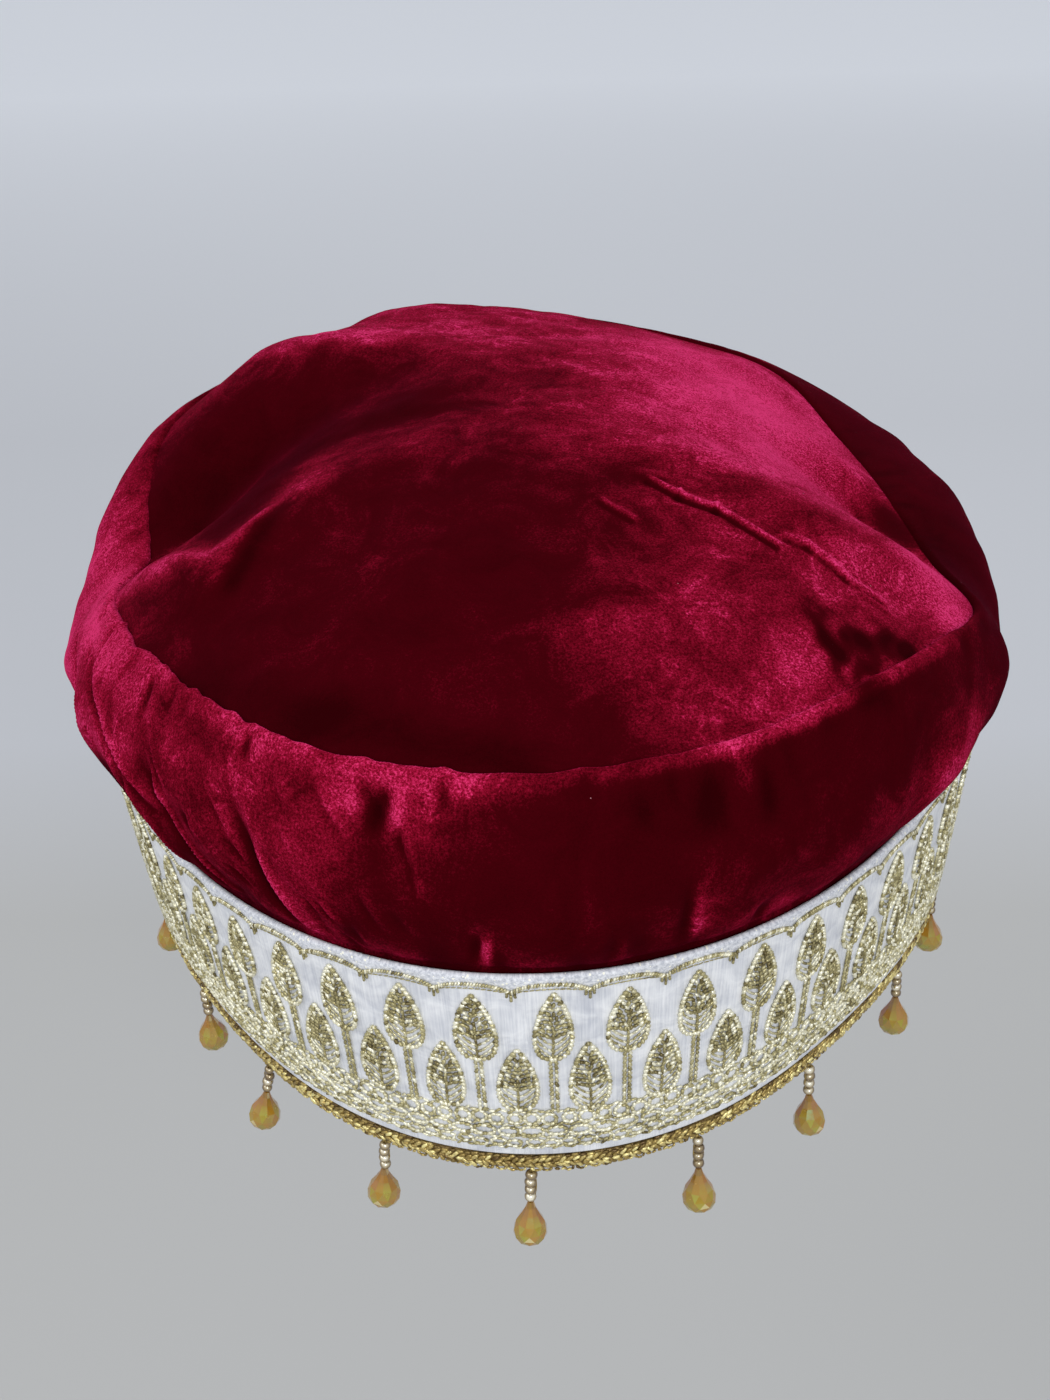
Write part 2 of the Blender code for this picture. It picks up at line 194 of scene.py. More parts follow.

# The same painted light and shade for the side panel, positive where lit and negative where shaded: angle,
# share of the way up, spreads of both, and strength
SIDE_PAINTED_LIGHT = (
    (-92, 0.62, 22, 0.45, 0.46),
    (-66, 0.92, 26, 0.12, 0.47),
    (-38, 0.84, 4, 0.14, 0.14),
    (-35, 1.00, 36, 0.03, 0.20),
    (-58, 0.60, 14, 0.26, 0.26),
    (-52, 0.62, 6, 0.16, 0.14),
    (-44, 0.30, 9, 0.30, 0.14),
    (-27, 0.72, 8, 0.34, 0.29),
    (-18, 0.64, 4, 0.20, 0.08),
    (-21, 0.30, 4, 0.34, 0.28),
    (-13, 0.86, 7, 0.20, 0.34),
    (-17.0, 0.92, 2.2, 0.06, 0.22),
    (-14.0, 0.74, 2.8, 0.12, -0.22),
    (-8, 0.98, 9, 0.05, 0.26),
    (-36, 0.36, 4, 0.40, -0.12),
    (-3.9, 0.16, 0.8, 0.20, 0.26),
    (1.5, 0.10, 2.5, 0.12, 0.08),
    (-12, 0.10, 4.0, 0.12, 0.10),
    (16.5, 0.25, 1.4, 0.28, 0.24),
    (8.3, 0.16, 0.6, 0.14, 0.20),
    (12, 0.20, 7, 0.22, 0.06),
    (26, 0.12, 3.5, 0.12, 0.18),
    (22, 0.50, 12, 0.32, 0.05),
    (11.5, 0.88, 1.2, 0.07, -0.14),
    (17, 0.85, 1.4, 0.08, -0.12),
    (32, 1.00, 20, 0.022, 0.52),
    (38.5, 1.00, 2.6, 0.04, -0.50),
    (63, 0.38, 8, 0.26, -0.22),
    (54, 0.22, 7, 0.20, -0.12),
    (22, 0.94, 3, 0.08, 0.08),
    (80, 1.00, 14, 0.30, -0.20),
    (12, 0.75, 10, 0.20, -0.06),
    (95, 0.60, 30, 0.60, -0.10),
    (130, 0.60, 22, 0.60, -0.12),
    (180, 0.55, 40, 0.35, 0.20),
    (-135, 0.60, 24, 0.35, 0.30),
)

# Drops that have swung from their even places: the drop's number counted from the front towards +X,
# how far it sits along the braid, and how far its tip leans along and out from the braid
DROP_SWINGS = {
    0: (-1.1, -0.8, 1.5),
    1: (-0.3, -0.5, 2.2),
    2: (-3.4, 0.3, 0.8),
    3: (0.9, 0.8, -0.5),
    15: (5.2, -1.6, -1.2),
    16: (0.9, -3.2, 1.0),
    17: (0.8, -1.8, -0.6),
}


class Slot(Enum):
    """The record's material slots."""

    TIP = "tip_velvet"
    SIDE = "side_velvet"
    SATIN = "band_satin"
    THREAD = "gold_thread"
    BRAID = "gold_braid"
    SEED = "pearl_seed"
    GLASS = "amber_glass"


def wrapped(angle: Array) -> Array:
    """Bring angles in degrees to the range from -180 to 180."""
    return (np.asarray(angle, float) + 180.0) % 360.0 - 180.0


def hump(away: Array) -> Array:
    """Fall off smoothly from 1 where the distance, in spreads, is 0."""
    return np.exp(-(away**2))


def unit(rows: Array) -> Array:
    """Scale directions to length 1."""
    return rows / np.linalg.norm(rows, axis=-1, keepdims=True)


def walked(path: Array) -> Array:
    """Lengths along a path from its start, one for each of its points."""
    return np.concatenate([[0.0], np.cumsum(np.linalg.norm(np.diff(path, axis=0), axis=1))])


def ripple(points: Array, wavelength: float, seed: int, waves: int = 22) -> Array:
    """Make a smooth seeded unevenness from waves that cross in all directions.

    Args:
        points: Places, one row each, in millimetres.
        wavelength: The typical distance from crest to crest.
        seed: Seed of the directions and phases.
        waves: How many waves are added.

    Returns:
        One value for each place, mostly between -1 and 1.
    """
    draw = np.random.default_rng(seed)
    directions = unit(draw.normal(size=(waves, 3)))
    lengths = wavelength * draw.uniform(0.7, 1.5, waves)
    phases = draw.uniform(0, 2 * math.pi, waves)
    total = np.zeros(points.shape[:-1])
    for direction, length, phase in zip(directions, lengths, phases):
        total += np.sin(points @ direction * (2 * math.pi / length) + phase)
    return total / math.sqrt(waves)


def line_distance(x: Array, y: Array, x0: float, y0: float, x1: float, y1: float) -> tuple[Array, Array]:
    """Measure from places in plan to a straight stretch.

    Args:
        x: Places across.
        y: Places to the back.
        x0: Start of the stretch across.
        y0: Start of the stretch to the back.
        x1: End of the stretch across.
        y1: End of the stretch to the back.

    Returns:
        The distance, and how far along the stretch the nearest point is, from 0 to 1.
    """
    run, rise = x1 - x0, y1 - y0
    share = np.clip(((x - x0) * run + (y - y0) * rise) / (run**2 + rise**2), 0.0, 1.0)
    return np.hypot(x - x0 - share * run, y - y0 - share * rise), share


def polar(angle: Array, radius: Array, height: Array) -> Array:
    """Points from angle round the cap in degrees, radius and height, as rows of x, y, z."""
    turn = np.radians(angle)
    return np.stack([radius * np.sin(turn), -radius * np.cos(turn), height + 0 * radius], -1)


@dataclass(frozen=True)
class CapShape:
    """The outer faces of the cap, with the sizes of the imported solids."""

    half_width: float = 88.7
    half_depth: float = 101.3
    temple_flatness: float = 0.028
    flare: float = 0.00128
    band_top: float = 46.2
    band_dip: float = 3.2
    dip_angle: float = 44.0
    dip_spread: float = 25.0
    left_dip: float = 1.3
    left_angle: float = -52.0
    left_spread: float = 17.0
    band_wall: float = 1.6
    velvet_wall: float = 2.0
    gap: float = 0.35
    tuck: float = 8.0
    clearance: float = 0.5
    tip_height: float = 110.0
    tip_drop: float = 0.8
    fold_fade: float = 7.0
    braid_inset: float = 1.1
    braid_height: float = 4.2
    strand_length: float = 7.0
    drop_length: float = 10.0
    drop_count: int = 18

    def column(self, name: str, angle: Array) -> Array:
        """Read a column of the section table at any angles, as a smooth closed curve.

        Args:
            name: The column.
            angle: Angles in degrees.

        Returns:
            The column's values there.
        """
        table = np.array(SECTIONS, float)
        turns = np.concatenate([table[:, 0] + shift for shift in (-360, 0, 360)])
        values = np.tile(table[:, SECTION_COLUMNS.index(name)], 3)
        slopes = np.zeros_like(values)
        slopes[1:-1] = (values[2:] - values[:-2]) / (turns[2:] - turns[:-2])
        angle = wrapped(angle)
        i = np.clip(np.searchsorted(turns, angle, side="right") - 1, 0, len(turns) - 2)
        step = turns[i + 1] - turns[i]
        t = (angle - turns[i]) / step
        return (
            (2 * t**3 - 3 * t**2 + 1) * values[i]
            + (t**3 - 2 * t**2 + t) * slopes[i] * step
            + (3 * t**2 - 2 * t**3) * values[i + 1]
            + (t**3 - t**2) * slopes[i + 1] * step
        )

    def band_radius(self, angle: Array, height: Array) -> Array:
        """Outer radius of the band at angles in degrees and heights.

        Args:
            angle: Angles in degrees.
            height: Heights.

        Returns:
            The radii.
        """
        turn = np.radians(angle)
        across, deep = self.half_depth * np.sin(turn), self.half_width * np.cos(turn)
        oval = self.half_width * self.half_depth / np.hypot(across, deep)
        flatness = self.temple_flatness * np.minimum(1.0, 1 + np.cos(turn))
        return oval * (1 + flatness * np.cos(4 * turn)) * (1 + self.flare * height)

    def top(self, angle: Array) -> Array:
        """Height of the band's top edge, which dips on both sides of the front and more on the left.

        Args:
            angle: Angles in degrees.

        Returns:
            The heights.
        """
        turn = wrapped(angle)
        dip = self.band_dip * hump((np.abs(turn) - self.dip_angle) / self.dip_spread)
        return self.band_top - dip - self.left_dip * hump((turn - self.left_angle) / self.left_spread)

    def bulge(self, angle: Array) -> tuple[Array, Array, Array]:
        """The three points of the side panel's curve at angles, as rows of radius and height.

        Args:
            angle: Angles in degrees.

        Returns:
            Where the curve starts, the point that pulls it out, and where it ends.
        """
        top = self.top(angle)
        foot = self.band_radius(angle, top) - self.band_wall - self.gap
        start = np.stack([foot, top + self.clearance], -1)
        belly = np.stack([self.column("belly_radius", angle), self.column("belly_height", angle)], -1)
        seam = np.stack([self.column("seam_radius", angle), self.column("seam_height", angle)], -1)
        return start, 2 * belly - (start + seam) / 2, seam

    @staticmethod
    def fold_depth(table: tuple, angle: Array, share: Array) -> Array:
        """How far folds draw the side panel in.

        Args:
            table: Folds, in the columns of the side panel's folds.
            angle: Angles in degrees.
            share: Shares of the way from band to seam.

        Returns:
            The depth at each place.
        """
        depth = np.zeros(np.broadcast(angle, share).shape)
        for low, high, start, end, half_width, deep in table:
            across = wrapped(angle - (low + (high - low) * share))
            along = np.clip((share - start) / (end - start), 0.0, 1.0)
            depth += deep * hump(across / half_width) * np.sin(math.pi * along) ** FOLD_ENDS
        return depth

    def side_point(self, angle: Array, share: Array, sink: Array) -> Array:
        """Points of the side panel's outer face, with an extra depth that the fine folds sink it by.

        Args:
            angle: Angles in degrees.
            share: Shares of the way from band to seam.
            sink: How far fine folds sink the face.

        Returns:
            The points.
        """
        start, pull, seam = self.bulge(angle)
        w = np.asarray(share, float)[..., None]
        section = (1 - w) ** 2 * start + 2 * w * (1 - w) * pull + w**2 * seam
        depth = self.fold_depth(SIDE_FOLDS, angle, share) + sink
        return polar(angle, section[..., 0] - depth, section[..., 1])

    def tip_edge(self, angle: Array) -> Array:
        """Points of the tip's edge, just inside the side panel's top edge.

        Args:
            angle: Angles in degrees.

        Returns:
            The points.
        """
        _, pull, seam = self.bulge(angle)
        run = seam - pull
        lean = run[..., 1] / np.hypot(run[..., 0], run[..., 1])
        radius = seam[..., 0] - self.velvet_wall * lean - self.gap
        return polar(angle, radius, seam[..., 1] - self.tip_drop)

    @staticmethod
    def tip_fold(x: Array, y: Array) -> Array:
        """How far the folds raise or sink the tip at places in plan.

        Args:
            x: Places across.
            y: Places to the back.

        Returns:
            The heights.
        """
        height = np.zeros_like(x)
        for x0, y0, x1, y1, x2, y2, width, rise in TIP_FOLDS:
            outer, _ = line_distance(x, y, x0, y0, x1, y1)
            inner, share = line_distance(x, y, x1, y1, x2, y2)
            strength = np.where(outer < inner, 1.0, 1 - share)
            height += rise * strength * hump(np.minimum(outer, inner) / width)
        return height

    def tip_point(self, angle: Array, share: Array) -> Array:
        """Points of the tip's outer face, from its middle to its edge.

        Args:
            angle: Angles in degrees.
            share: Shares of the way from the middle to the edge.

        Returns:
            The points.
        """
        edge = self.tip_edge(angle)
        x, y = edge[..., 0] * share, edge[..., 1] * share
        dome = edge[..., 2] * share**2 + self.tip_height * (1 - share**2)
        fade = np.minimum((1 - share) * self.fold_fade, 1.0)
        return np.stack([x, y, dome + self.tip_fold(x, y) * fade], -1)


class BandMap:
    """Lays flat designs on the band: lengths along it from the front, heights and lifts off its face."""

    def __init__(self, shape: CapShape, steps: int = 7200) -> None:
        """Measure the band's lower edge.

        Args:
            shape: The cap's faces.
            steps: How many steps the edge is measured in.
        """
        self.shape = shape
        self.angles = np.linspace(0.0, 360.0, steps + 1)
        edge = polar(self.angles, shape.band_radius(self.angles, 0.0), 0.0)
        self.lengths = walked(edge)
        self.total = float(self.lengths[-1])

    def angle(self, length: Array) -> Array:
        """Angles in degrees at lengths along the band."""
        return np.interp(np.asarray(length, float) % self.total, self.lengths, self.angles)

    def place(self, length: Array, height: Array, lift: Array, below_edge: bool = False) -> Array:
        """Put places of a flat design on the band.

        Args:
            length: Lengths along the band from the front.
            height: Heights in the design, from 0 at the lower edge to the band's top.
            lift: Distances off the band's face.
            below_edge: Measure heights from the lower edge as they are, for the braid.

        Returns:
            Points in millimetres.
        """
        angle = self.angle(length)
        rim = self.shape.column("rim_height", angle)
        scale = 1.0 if below_edge else (self.shape.top(angle) - rim) / self.shape.band_top
        z = rim + np.asarray(height, float) * scale
        return polar(angle, self.shape.band_radius(angle, z) + lift, z)

    def frames(self, length: Array, height: Array, below_edge: bool = False) -> tuple[Array, Array, Array]:
        """Directions along, up and out of the band at places of a design, as unit rows.

        Args:
            length: Lengths along the band from the front.
            height: Heights in the design.
            below_edge: Measure heights from the lower edge as they are.

        Returns:
            The three directions.
        """
        step = 0.05
        here = self.place(length, height, 0.0, below_edge)
        along = unit(self.place(np.asarray(length) + step, height, 0.0, below_edge) - here)
        up = unit(self.place(length, np.asarray(height) + step, 0.0, below_edge) - here)
        return along, up, np.cross(along, up)


class NodeWriter:
    """Writes nodes into a tree with few words."""

    def __init__(self, tree: NodeTree) -> None:
        """Keep the tree that nodes go to."""
        self.tree = tree

    def node(self, kind: str, **settings: object) -> Node:
        """Add a node.

        Args:
            kind: The node's type.
            settings: Properties of the node.

        Returns:
            The node.
        """
        node = self.tree.nodes.new(kind)
        for name, value in settings.items():
            setattr(node, name, value)
        return node

    def feed(self, target: Socket, value: object) -> None:
        """Link a socket to an input, or set the input to a value.

        Args:
            target: The socket.
            value: Another node's output, or a plain value.
        """
        if isinstance(value, Socket):
            self.tree.links.new(value, target)
        else:
            target.default_value = value

    def fill(self, node: Node, **values: object) -> Node:
        """Link or set a node's inputs, named with _ for a space, and give the node back.

        Args:
            node: The node.
            values: Outputs or plain values.

        Returns:
            The same node.
        """
        for name, value in values.items():
            self.feed(node.inputs[name.replace("_", " ")], value)
        return node

    def math(self, operation: str, first: object, second: object = 0.0, clamp: bool = False) -> Socket:
        """Work out a value from one or two others.

        Args:
            operation: What is done.
            first: First value.
            second: Second value.
            clamp: Whether the result is held between 0 and 1.

        Returns:
            The result.
        """
        node = self.node("ShaderNodeMath", operation=operation, use_clamp=clamp)
        self.feed(node.inputs[0], first)
        self.feed(node.inputs[1], second)
        return node.outputs[0]

    def plus(self, first: object, second: object, clamp: bool = False) -> Socket:
        """Add two values."""
        return self.math("ADD", first, second, clamp)

    def minus(self, first: object, second: object) -> Socket:
        """Subtract the second value from the first."""
        return self.math("SUBTRACT", first, second)

    def times(self, first: object, second: object) -> Socket:
        """Multiply two values."""
        return self.math("MULTIPLY", first, second)

    def weighed(self, *parts: tuple) -> Socket:
        """Add up values, each given with its weight.

        Args:
            parts: Pairs of value and weight.

        Returns:
            The sum.
        """
        total = self.times(*parts[0])
        for part in parts[1:]:
            total = self.plus(total, self.times(*part))
        return total

    def remap(self, value: object, low: float, high: float, new_low: float = 0.0, new_high: float = 1.0,
              smooth: bool = False) -> Socket:
        """Take a value from one range to another, held at both ends.

        Args:
            value: The value.
            low: Where the first range starts.
            high: Where it ends.
            new_low: Where the second range starts.
            new_high: Where it ends.
            smooth: Whether it eases in and out.

        Returns:
            The new value.
        """
        kind = "SMOOTHSTEP" if smooth else "LINEAR"
        node = self.node("ShaderNodeMapRange", interpolation_type=kind)
        for index, item in enumerate((value, low, high, new_low, new_high)):
            self.feed(node.inputs[index], item)
        return node.outputs[0]

    def scaled(self, vector: object, *scale: float) -> Socket:
        """Stretch a vector along its axes.

        Args:
            vector: The vector.
            scale: A factor for each axis.

        Returns:
            The vector.
        """
        node = self.node("ShaderNodeVectorMath", operation="MULTIPLY")
        self.feed(node.inputs[0], vector)
        node.inputs[1].default_value = scale
        return node.outputs[0]

    def split(self, vector: object) -> Node:
        """Take a vector apart.

        Args:
            vector: The vector.

        Returns:
            The node, with an output for each axis.
        """
        node = self.node("ShaderNodeSeparateXYZ")
        self.feed(node.inputs[0], vector)
        return node

    def noise(self, vector: object, scale: object, detail: float = 2.0, roughness: float = 0.5,
              distortion: float = 0.0) -> Socket:
        """Add a noise texture and give its value.

        Args:
            vector: Places.
            scale: How fine it is.
            detail: Finer layers.
            roughness: How strong they are.
            distortion: How far it is stirred.

        Returns:
            The noise, about 0.5.
        """
        node = self.node("ShaderNodeTexNoise")
        self.fill(node, Vector=vector, Scale=scale, Detail=detail, Roughness=roughness, Distortion=distortion)
        return node.outputs["Fac"]

    def place(self) -> Socket:
        """Places in the object's own frame."""
        return self.node("ShaderNodeTexCoord").outputs["Object"]

    def painted(self, name: str) -> Socket:
        """A value that is painted on the mesh."""
        return self.node("ShaderNodeAttribute", attribute_name=name).outputs["Fac"]

    def ramp(self, value: object, stops: tuple) -> Socket:
        """Turn a value into a colour.

        Args:
            value: The value, from 0 to 1.
            stops: Rows of position and colour.

        Returns:
            The colour.
        """
        node = self.node("ShaderNodeValToRGB")
        elements = node.color_ramp.elements
        while len(elements) < len(stops):
            elements.new(0.5)
        for element, (position, colour) in zip(elements, stops):
            element.position = position
            element.color = (*colour, 1.0)
        self.feed(node.inputs[0], value)
        return node.outputs[0]

    def blend(self, share: object, first: object, second: object) -> Socket:
        """Mix two colours.

        Args:
            share: Share of the second colour.
            first: First colour.
            second: Second colour.

        Returns:
            The colour.
        """
        node = self.node("ShaderNodeMix", data_type="RGBA")
        self.feed(node.inputs[0], share)
        for index, colour in ((6, first), (7, second)):
            self.feed(node.inputs[index], colour if isinstance(colour, Socket) else (*colour, 1.0))
        return node.outputs[2]

    def bump(self, height: object, distance: float, strength: float) -> Socket:
        """Turn heights into a normal."""
        node = self.node("ShaderNodeBump")
        return self.fill(node, Strength=strength, Distance=distance, Height=height).outputs[0]

    def group(self, tree: NodeTree, **values: object) -> Node:
        """Place a group with its own values, named by its sockets with _ for a space."""
        return self.fill(self.node("ShaderNodeGroup", node_tree=tree), **values)


class SharedEffects:
    """Shader groups that more than one finish uses, each built once."""

    def __init__(self) -> None:
        """Build the groups."""
        self.pile = self._pile()
        self.tones = self._tones()
        self.flecks = self._flecks()

    @staticmethod
    def _tree(name: str, inputs: tuple, outputs: dict) -> tuple[NodeWriter, Sockets, Node]:
        """Start a group.

        Args:
            name: The group's name.
            inputs: Rows of name, socket kind and default.
            outputs: The socket kind for each output's name.

        Returns:
            The writer, the sockets that give the inputs and the node that takes the outputs.
        """
        tree = bpy.data.node_groups.new(name, "ShaderNodeTree")
        for label, kind, default in inputs:
            socket = tree.interface.new_socket(label, in_out="INPUT", socket_type=f"NodeSocket{kind}")
            if default is not None:
                socket.default_value = default
        for label, kind in outputs.items():
            tree.interface.new_socket(label, in_out="OUTPUT", socket_type=f"NodeSocket{kind}")
        return NodeWriter(tree), tree.nodes.new("NodeGroupInput").outputs, tree.nodes.new("NodeGroupOutput")

    def _pile(self) -> NodeTree:
        """Short crushed pile: masks of drifts and of thin crinkles in clusters, which the velvet paints as
        highlights, and a height of tufts.

        Returns:
            The group.
        """
        inputs = (
            ("Vector", "Vector", None),
            ("Drift Scale", "Float", 60.0),
            ("Crinkle Scale", "Float", 160.0),
            ("Tuft Scale", "Float", 2300.0),
        )
        outputs = {"Drift": "Float", "Crinkle": "Float", "Tuft": "Float"}
        shader, given, out = self._tree("brushed_pile", inputs, outputs)
        vector = given["Vector"]
        wide = shader.noise(vector, given["Drift Scale"], 7.0, 0.72, 0.8)
        veins = shader.noise(vector, given["Crinkle Scale"], 4.0, 0.62, 0.9)
        away = shader.math("ABSOLUTE", shader.minus(veins, 0.5))
        clusters = shader.remap(shader.noise(vector, given["Drift Scale"], 1.0), 0.44, 0.60)
        crinkle = shader.times(shader.remap(away, 0.0, 0.055, 1.0, 0.0, smooth=True), clusters)
        tufts = shader.noise(vector, given["Tuft Scale"], 1.0, 0.6)
        hairs = shader.noise(vector, shader.times(given["Tuft Scale"], 2.1), 1.0, 0.6)
        tuft = shader.remap(shader.weighed((tufts, 0.6), (hairs, 0.4)), 0.36, 0.70)
        shader.fill(out, Drift=shader.remap(wide, 0.30, 0.70, -1.0, 1.0), Crinkle=crinkle, Tuft=tuft)
        return shader.tree

    def _tones(self) -> NodeTree:
        """A thread's colour from its tone, with grain along it.

        Returns:
            The group.
        """
        inputs = (
            ("Vector", "Vector", None),
            ("Tone", "Float", 0.5),
            ("Dark", "Color", None),
            ("Middle", "Color", None),
            ("Bright", "Color", None),
            ("Grain Scale", "Float", 2600.0),
        )
        shader, given, out = self._tree("thread_tones", inputs, {"Color": "Color", "Grain": "Float"})
        grain = shader.noise(given["Vector"], given["Grain Scale"], 2.0, 0.6)
        swing = shader.times(shader.minus(grain, 0.5), 0.7)
        tone = shader.plus(given["Tone"], swing, clamp=True)
        low = shader.blend(shader.remap(tone, 0.0, 0.5), given["Dark"], given["Middle"])
        high = shader.blend(shader.remap(tone, 0.5, 1.0), low, given["Bright"])
        shader.fill(out, Color=high, Grain=grain)
        return shader.tree

    def _flecks(self) -> NodeTree:
        """Sparse tiny flecks, such as lint or glitter, as a mask.

        Returns:
            The group.
        """
        inputs = (("Vector", "Vector", None), ("Scale", "Float", 150.0), ("Size", "Float", 0.08))
        shader, given, out = self._tree("flecks", inputs, {"Mask": "Float"})
        cells = shader.node("ShaderNodeTexVoronoi", feature="F1")
        shader.fill(cells, Vector=given["Vector"], Scale=given["Scale"])
        shader.fill(out, Mask=shader.math("LESS_THAN", cells.outputs["Distance"], given["Size"]))
        return shader.tree


@dataclass(frozen=True)
class Finish:
    """What every finish has: its own name and the slot it fills."""

    name: str
    slot: Slot

    def start(self) -> tuple[Material, NodeWriter, Node]:
        """Make an empty material.

        Returns:
            The material, a writer for its nodes and its shader node.
        """
        material = bpy.data.materials.new(self.name)
        material.use_nodes = True
        return material, NodeWriter(material.node_tree), material.node_tree.nodes["Principled BSDF"]


@dataclass(frozen=True)
class VelvetFinish(Finish):
    """Silk velvet whose base colour is painted light: a ramp from near black in shade to pink where lit, with
    painted sheen where the face turns from the eye.
    """

    # Colours of the painted light value, from deep shade to lit pile
    stops: tuple = (
        (0.00, (0.024, 0.0002, 0.0012)),
        (0.26, (0.050, 0.0004, 0.0026)),
        (0.45, (0.145, 0.0020, 0.0098)),
        (0.64, (0.265, 0.0042, 0.0240)),
        (0.82, (0.430, 0.0108, 0.0580)),
        (1.00, (0.660, 0.0300, 0.1300)),
    )
    lint: tuple = (0.36, 0.16, 0.18)
    base: float = 0.21
    painted_sheen_gain: float = 0.20
    pinkness: float = 0.0
    drift_scale: float = 75.0
    crinkle_scale: float = 150.0
    tuft_scale: float = 2300.0

    def build(self, shared: SharedEffects) -> Material:
        """Write the material.

        Args:
            shared: The groups.

        Returns:
            The material.
        """
        material, shader, principled = self.start()
        place = shader.place()
        pile = shader.group(
            shared.pile, Vector=place, Drift_Scale=self.drift_scale,
            Crinkle_Scale=self.crinkle_scale, Tuft_Scale=self.tuft_scale,
        ).outputs
        # Painted sheen where the face turns from the eye, plus the painted light and shade on the mesh and a
        # base level
        facing = shader.node("ShaderNodeLayerWeight").outputs["Facing"]
        turned = shader.remap(facing, 0.30, 0.92, 0.0, self.painted_sheen_gain, smooth=True)
        light = shader.plus(shader.plus(turned, shader.painted("nap")), self.base)
        rising, falling = shader.remap(light, 0.2, 0.5, 0.08, 0.22), shader.remap(light, 0.6, 0.9, 1.0, 0.45)
        light = shader.plus(light, shader.times(pile["Drift"], shader.times(rising, falling)))
        # Painted highlights along thin crinkles, stronger where lit
        lines = shader.times(pile["Crinkle"], shader.remap(light, 0.25, 0.55, 0.02, 0.20))
        light = shader.plus(light, lines)
        speckle = shader.times(shader.minus(pile["Tuft"], 0.42), shader.remap(light, 0.2, 0.7, 0.08, 0.66))
        light = shader.plus(light, speckle, clamp=True)
        stops = []
        for position, (red, green, blue) in self.stops:
            paler = 1 + self.pinkness * position
            stops.append((position, (red, green * paler, blue * paler)))
        lint = shader.group(shared.flecks, Vector=place, Scale=120.0, Size=0.013).outputs["Mask"]
        shader.fill(
            principled, Base_Color=shader.blend(lint, shader.ramp(light, stops), self.lint),
            Normal=shader.bump(pile["Tuft"], 0.0004, 0.3), Roughness=0.9, Specular_IOR_Level=0.004,
            Sheen_Weight=0.03, Sheen_Roughness=0.4, Sheen_Tint=(0.9, 0.03, 0.20, 1.0),
        )
        return material


@dataclass(frozen=True)
class SatinFinish(Finish):
    """White satin of the band: fine upright threads, soft wrinkles painted as light and shade, a grainy
    selvage and a little glitter.
    """

    light: tuple = (0.84, 0.85, 0.875)
    shade: tuple = (0.53, 0.55, 0.61)
    selvage_light: tuple = (0.86, 0.87, 0.90)
    selvage_shade: tuple = (0.42, 0.44, 0.50)
    glitter: tuple = (0.95, 0.93, 0.80)
    selvage_from: float = 0.0428
    selvage_fade: float = 0.0006

    def build(self, shared: SharedEffects) -> Material:
        """Write the material.

        Args:
            shared: The groups.

        Returns:
            The material.
        """
        material, shader, principled = self.start()
        cloth = shader.node("ShaderNodeUVMap", uv_map="cloth").outputs["UV"]
        threads = shader.noise(shader.scaled(cloth, 2300.0, 90.0, 1.0), 1.0, 3.0, 0.6)
        slubs = shader.noise(shader.scaled(cloth, 420.0, 60.0, 1.0), 1.0, 3.0, 0.6)
        clouds = shader.noise(shader.scaled(cloth, 150.0, 190.0, 1.0), 1.0, 3.0, 0.55, 0.8)
        grains = shader.noise(shader.scaled(cloth, 1500.0, 1500.0, 1.0), 1.0, 2.0, 0.7)
        height = shader.split(cloth).outputs["Y"]
        selvage = shader.remap(height, self.selvage_from, self.selvage_from + self.selvage_fade)
        # Painted light and shade: thread and slub noise for the weave and broad clouds for soft wrinkles
        # blend the satin between its lit and shaded colours
        weave_and_wrinkle_shade = shader.remap(shader.weighed((threads, 0.45), (slubs, 0.20), (clouds, 0.60)), 0.46, 0.74)
        rough_white = shader.blend(shader.remap(grains, 0.30, 0.70), self.selvage_shade, self.selvage_light)
        colour = shader.blend(selvage, shader.blend(weave_and_wrinkle_shade, self.shade, self.light), rough_white)
        flecks = shader.group(shared.flecks, Vector=cloth, Scale=900.0, Size=0.20).outputs["Mask"]
        relief = shader.weighed((threads, 0.6), (clouds, 1.6), (shader.times(grains, selvage), 1.2))
        shader.fill(
            principled, Base_Color=shader.blend(shader.times(flecks, selvage), colour, self.glitter),
            Normal=shader.bump(relief, 0.0003, 0.6), Roughness=shader.remap(selvage, 0.0, 1.0, 0.42, 0.75),
            Specular_IOR_Level=0.35, Sheen_Weight=0.15, Sheen_Roughness=0.4,
        )
        return material


@dataclass(frozen=True)
class ThreadFinish(Finish):
    """Metal thread whose tone comes from each stitch."""

    dark: tuple = (0.140, 0.108, 0.036)
    middle: tuple = (0.500, 0.445, 0.225)
    bright: tuple = (1.000, 0.970, 0.780)
    metallic: float = 0.45
    roughness: float = 0.34

    def build(self, shared: SharedEffects) -> Material:
        """Write the material.

        Args:
            shared: The groups.

        Returns:
            The material.
        """
        material, shader, principled = self.start()
        tones = shader.group(
            shared.tones, Vector=shader.place(), Tone=shader.painted("tone"), Dark=(*self.dark, 1.0),
            Middle=(*self.middle, 1.0), Bright=(*self.bright, 1.0),
        ).outputs
        shader.fill(
            principled, Base_Color=tones["Color"], Normal=shader.bump(tones["Grain"], 0.0002, 0.5),
            Roughness=shader.remap(tones["Grain"], 0.3, 0.7, self.roughness - 0.1, self.roughness + 0.14),
            Metallic=self.metallic, Specular_IOR_Level=0.5,
        )
        return material


